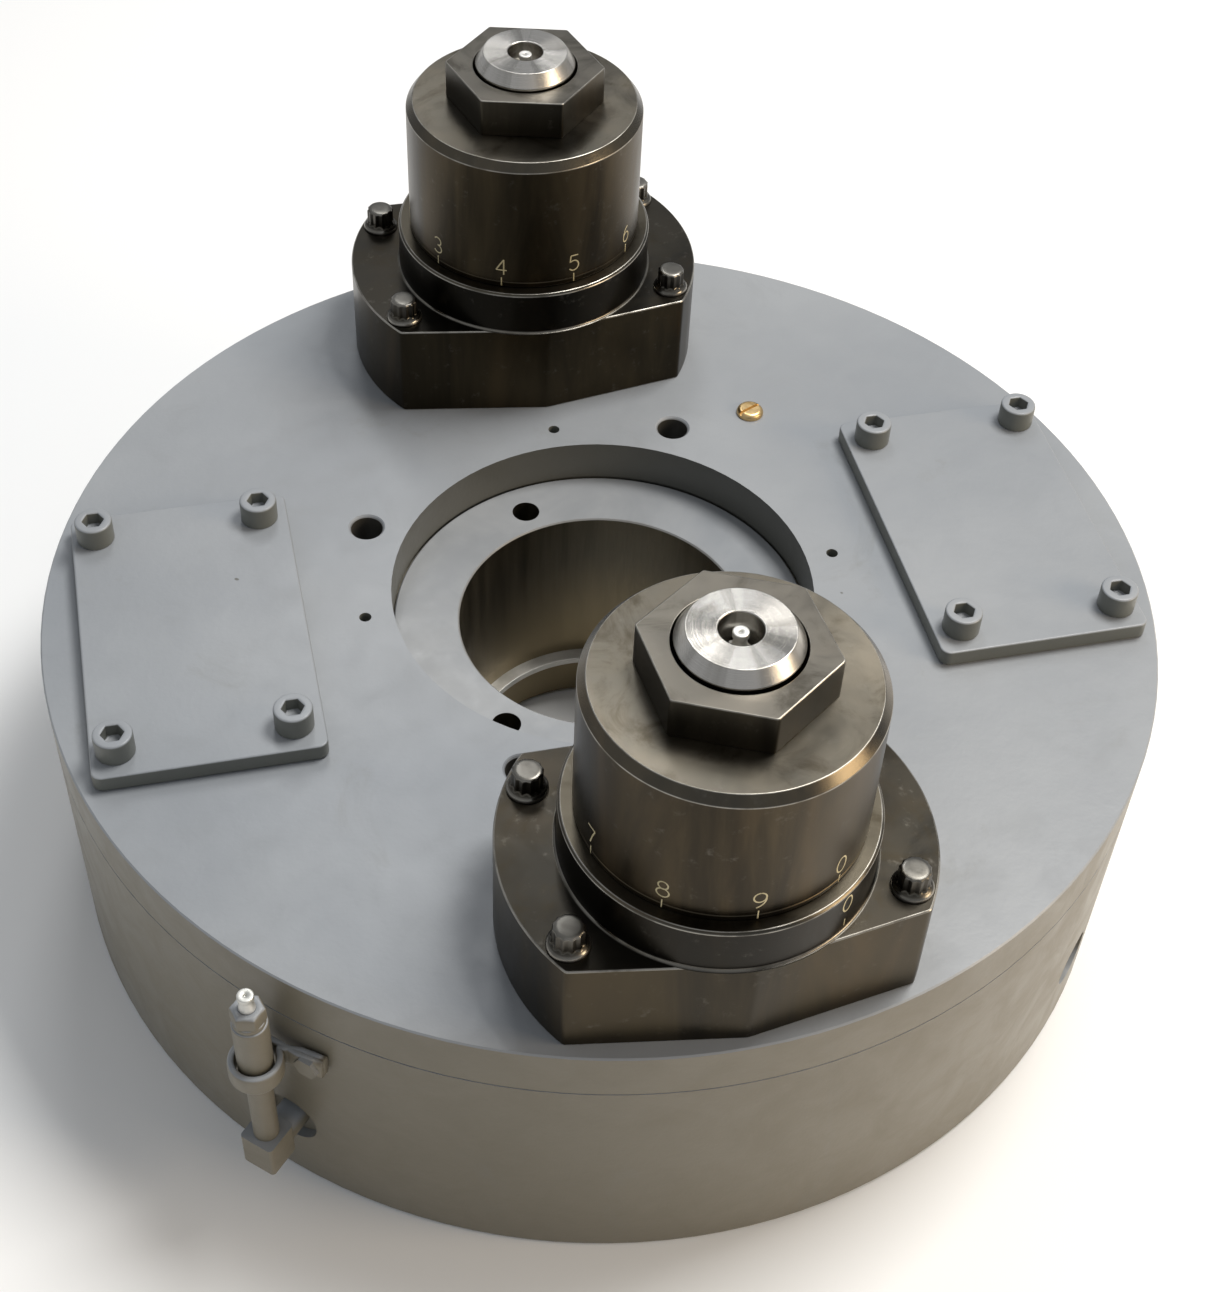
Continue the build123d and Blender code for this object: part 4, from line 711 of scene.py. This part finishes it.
def make_grease_line():
    """Painted riser tube, sleeve coupling and washer-faced adaptor, with a bright nipple on top."""
    coupling = softened([(5.2, COUPLING_LOW, 0.2), (8.3, COUPLING_LOW, 1.4), (8.3, COUPLING_HIGH, 1.2),
                         (5.2, COUPLING_HIGH, 0.2)])
    skin("lube_sleeve", [turned(coupling, LUBE_SPOT, 96)], "housing", PAINT, ["lube_coupling"])
    tube = softened([(3.6, 57, 0.1), (6.1, 57, 0.3), (6.1, 116, 0), (3.6, 116, 0)])
    skin("lube_riser", [turned(tube, LUBE_SPOT, 96)], "housing", PAINT, ["lube_tube"])
    rows = [(2.0, 150.0, 0), (7.3, 151.02, 0), (7.6, 151.3, 0), (7.6, 153.0, 0.3), (7.2, 153.5, 0.3),
            (hexagon(13.6, LUBE_ANGLE, 0, 96), 153.7, 0), (hexagon(14.4, LUBE_ANGLE, 0, 96), 154.4, 0),
            (hexagon(14.4, LUBE_ANGLE, 0, 96), 160.4, 0.2), (hexagon(14.4, LUBE_ANGLE, 0.8, 96), 161.6, 0.5),
            (6.0, ADAPTOR_TOP, 0.1), (2.0, ADAPTOR_TOP, 0)]
    adaptor = stacked(rows, LUBE_SPOT, 96)
    skin("lube_washer_and_hex", [adaptor], "housing", PAINT, ["lube_adaptor"])
    nipple = stacked(nipple_rows(ADAPTOR_TOP, 8.0, 0.0, 1.12), LUBE_SPOT, 96)
    skin("lube_nipple_body", [nipple], "housing", ZINC, ["lube_nipple"], poles=True)


def make_clip():
    """Strap clip: a thick rounded band carried from its foot on the drum wall round the sleeve and back,
    and the tab. The band's path runs in (along the wall, out from the wall), and its wall side follows the
    drum's round."""
    out = np.array([math.cos(LUBE_TURN), math.sin(LUBE_TURN)])
    side = np.array([-math.sin(LUBE_TURN), math.cos(LUBE_TURN)])
    reach = LUBE_REACH - DRUM_R
    loop = arc(0, reach, 11.0, 11.0, -62, 242, 40)
    foot_in = np.array([(27.0, 2.4), (22.0, 2.6), (15.0, 3.2), (9.5, 5.2)])
    foot_out = np.array([(-7.0, 6.6), (-4.0, 5.6), (0.5, 5.1), (10.0, 5.2), (15.0, 5.6), (27.0, 4.9)])
    path = np.concatenate([foot_in, loop, foot_out])
    drop = DRUM_R - np.sqrt(DRUM_R ** 2 - path[:, 0] ** 2)
    path = path - np.stack([0 * drop, np.where(np.abs(path[:, 1]) < 7, drop, 0)], -1)
    tangent = np.gradient(path, axis=0)
    tangent /= np.linalg.norm(tangent, axis=1, keepdims=True)
    normal = np.stack([-tangent[:, 1], tangent[:, 0]], -1)
    turn = np.linspace(0, 2 * math.pi, 20, endpoint=False)
    across = 1.9 * np.sign(np.cos(turn)) * np.abs(np.cos(turn)) ** 0.7
    rise = 6.0 * np.sign(np.sin(turn)) * np.abs(np.sin(turn)) ** 0.45
    plan = path[:, None] + normal[:, None] * across[None, :, None]
    spread = plan[..., :1] * side + (DRUM_R + plan[..., 1:]) * out
    height = CLIP_AT + rise[None, :] + 0 * plan[..., 0]
    band = (np.concatenate([spread, height[..., None]], -1), False, np.zeros(len(path)))
    skin("lube_strap", [band], "housing", PAINT, ["lube_clip"])


make_grease_line()
make_clip()

# Eased edges on the CAD solids that stay in view.
for node_name in ("top_plate", "drum_body", "drive_hub", "bore_retaining_ring", "lube_elbow",
                  "lube_clip_screw", "fill_plug", "side_plugs"):
    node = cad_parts[node_name]
    weld = node.modifiers.new("join triangles", "WELD")
    weld.merge_threshold = 1e-6
    bevel = node.modifiers.new("ease edges", "BEVEL")
    bevel.width = 0.0005
    bevel.segments = 2
    bevel.limit_method = "ANGLE"
    bevel.angle_limit = math.radians(38)
    bevel.use_clamp_overlap = True
    keep_flat(node)

# ------------------------------------------------------------------ stage, light and camera

floor_mesh = bpy.data.meshes.new("studio_floor")
FLOOR_HALF, FLOOR_Z = 12.0, -0.0005
floor_signs = ((-1, -1), (1, -1), (1, 1), (-1, 1))
floor_corners = [(sx * FLOOR_HALF, sy * FLOOR_HALF, FLOOR_Z) for sx, sy in floor_signs]
floor_mesh.from_pydata(floor_corners, [], [(0, 1, 2, 3)])
floor_finish = Finish("studio_floor_pale", Roughness=0.7)
floor_tone = floor_finish.noise(floor_finish.place, 2.0, 2.0)
floor_finish.to("Base Color", floor_finish.mixed(floor_tone, rgb(0.84, 0.84, 0.835), rgb(0.87, 0.87, 0.865)))
floor_mesh.materials.append(floor_finish.material)
floor = bpy.data.objects.new("studio_floor", floor_mesh)
bpy.context.scene.collection.objects.link(floor)


def stand(x, y, z, place):
    """World matrix whose columns are three axes and a place."""
    matrix = np.eye(4)
    matrix[:3, 0], matrix[:3, 1], matrix[:3, 2], matrix[:3, 3] = x, y, z, place
    return Matrix(matrix.tolist())


def softbox(name, place, aim, size, power, tint, tall=None):
    """Rectangular studio light at a place, turned to face its aim."""
    light = bpy.data.lights.new(name, "AREA")
    light.shape = "RECTANGLE"
    light.size = size
    light.size_y = tall or size
    light.energy = power
    light.color = tint
    lamp = bpy.data.objects.new(name, light)
    bpy.context.scene.collection.objects.link(lamp)
    z = (np.array(place) - np.array(aim)).astype(float)
    z /= np.linalg.norm(z)
    x = np.cross((0, 0, 1), z)
    x /= np.linalg.norm(x)
    y = np.cross(z, x)
    lamp.matrix_world = stand(x, y, z, place)


softbox("key_right", (1.0, 0.35, 2.5), (0, 0, 0.1), 0.95, 58, (1.0, 0.985, 0.955))
softbox("warm_low_right", (1.6, -1.0, 0.85), (0.1, -0.1, 0.15), 0.8, 17, (1.0, 0.78, 0.52))
softbox("top_back", (0.1, 1.6, 2.2), (0, 0, 0.15), 0.45, 9, (0.97, 0.985, 1.0), 1.0)

world = bpy.data.worlds.new("studio_air")
bpy.context.scene.world = world
world.use_nodes = True
air = world.node_tree.nodes["Background"]
air.inputs["Color"].default_value = (0.93, 0.96, 1.0, 1.0)
air.inputs["Strength"].default_value = 0.43

camera_data = bpy.data.cameras.new("camera")
camera = bpy.data.objects.new("camera", camera_data)
bpy.context.scene.collection.objects.link(camera)
camera_data.lens = 58.41
camera_data.sensor_width = 36.0
camera_data.clip_start, camera_data.clip_end = 0.05, 60.0
right, up, behind = (0.9740, -0.2236, 0.0360), (0.1390, 0.7158, 0.6843), (-0.1788, -0.6615, 0.7283)
camera.matrix_world = stand(right, up, behind, (-0.1972, -0.7432, 0.9359))
bpy.context.scene.camera = camera
bpy.context.scene.view_settings.view_transform = "Standard"
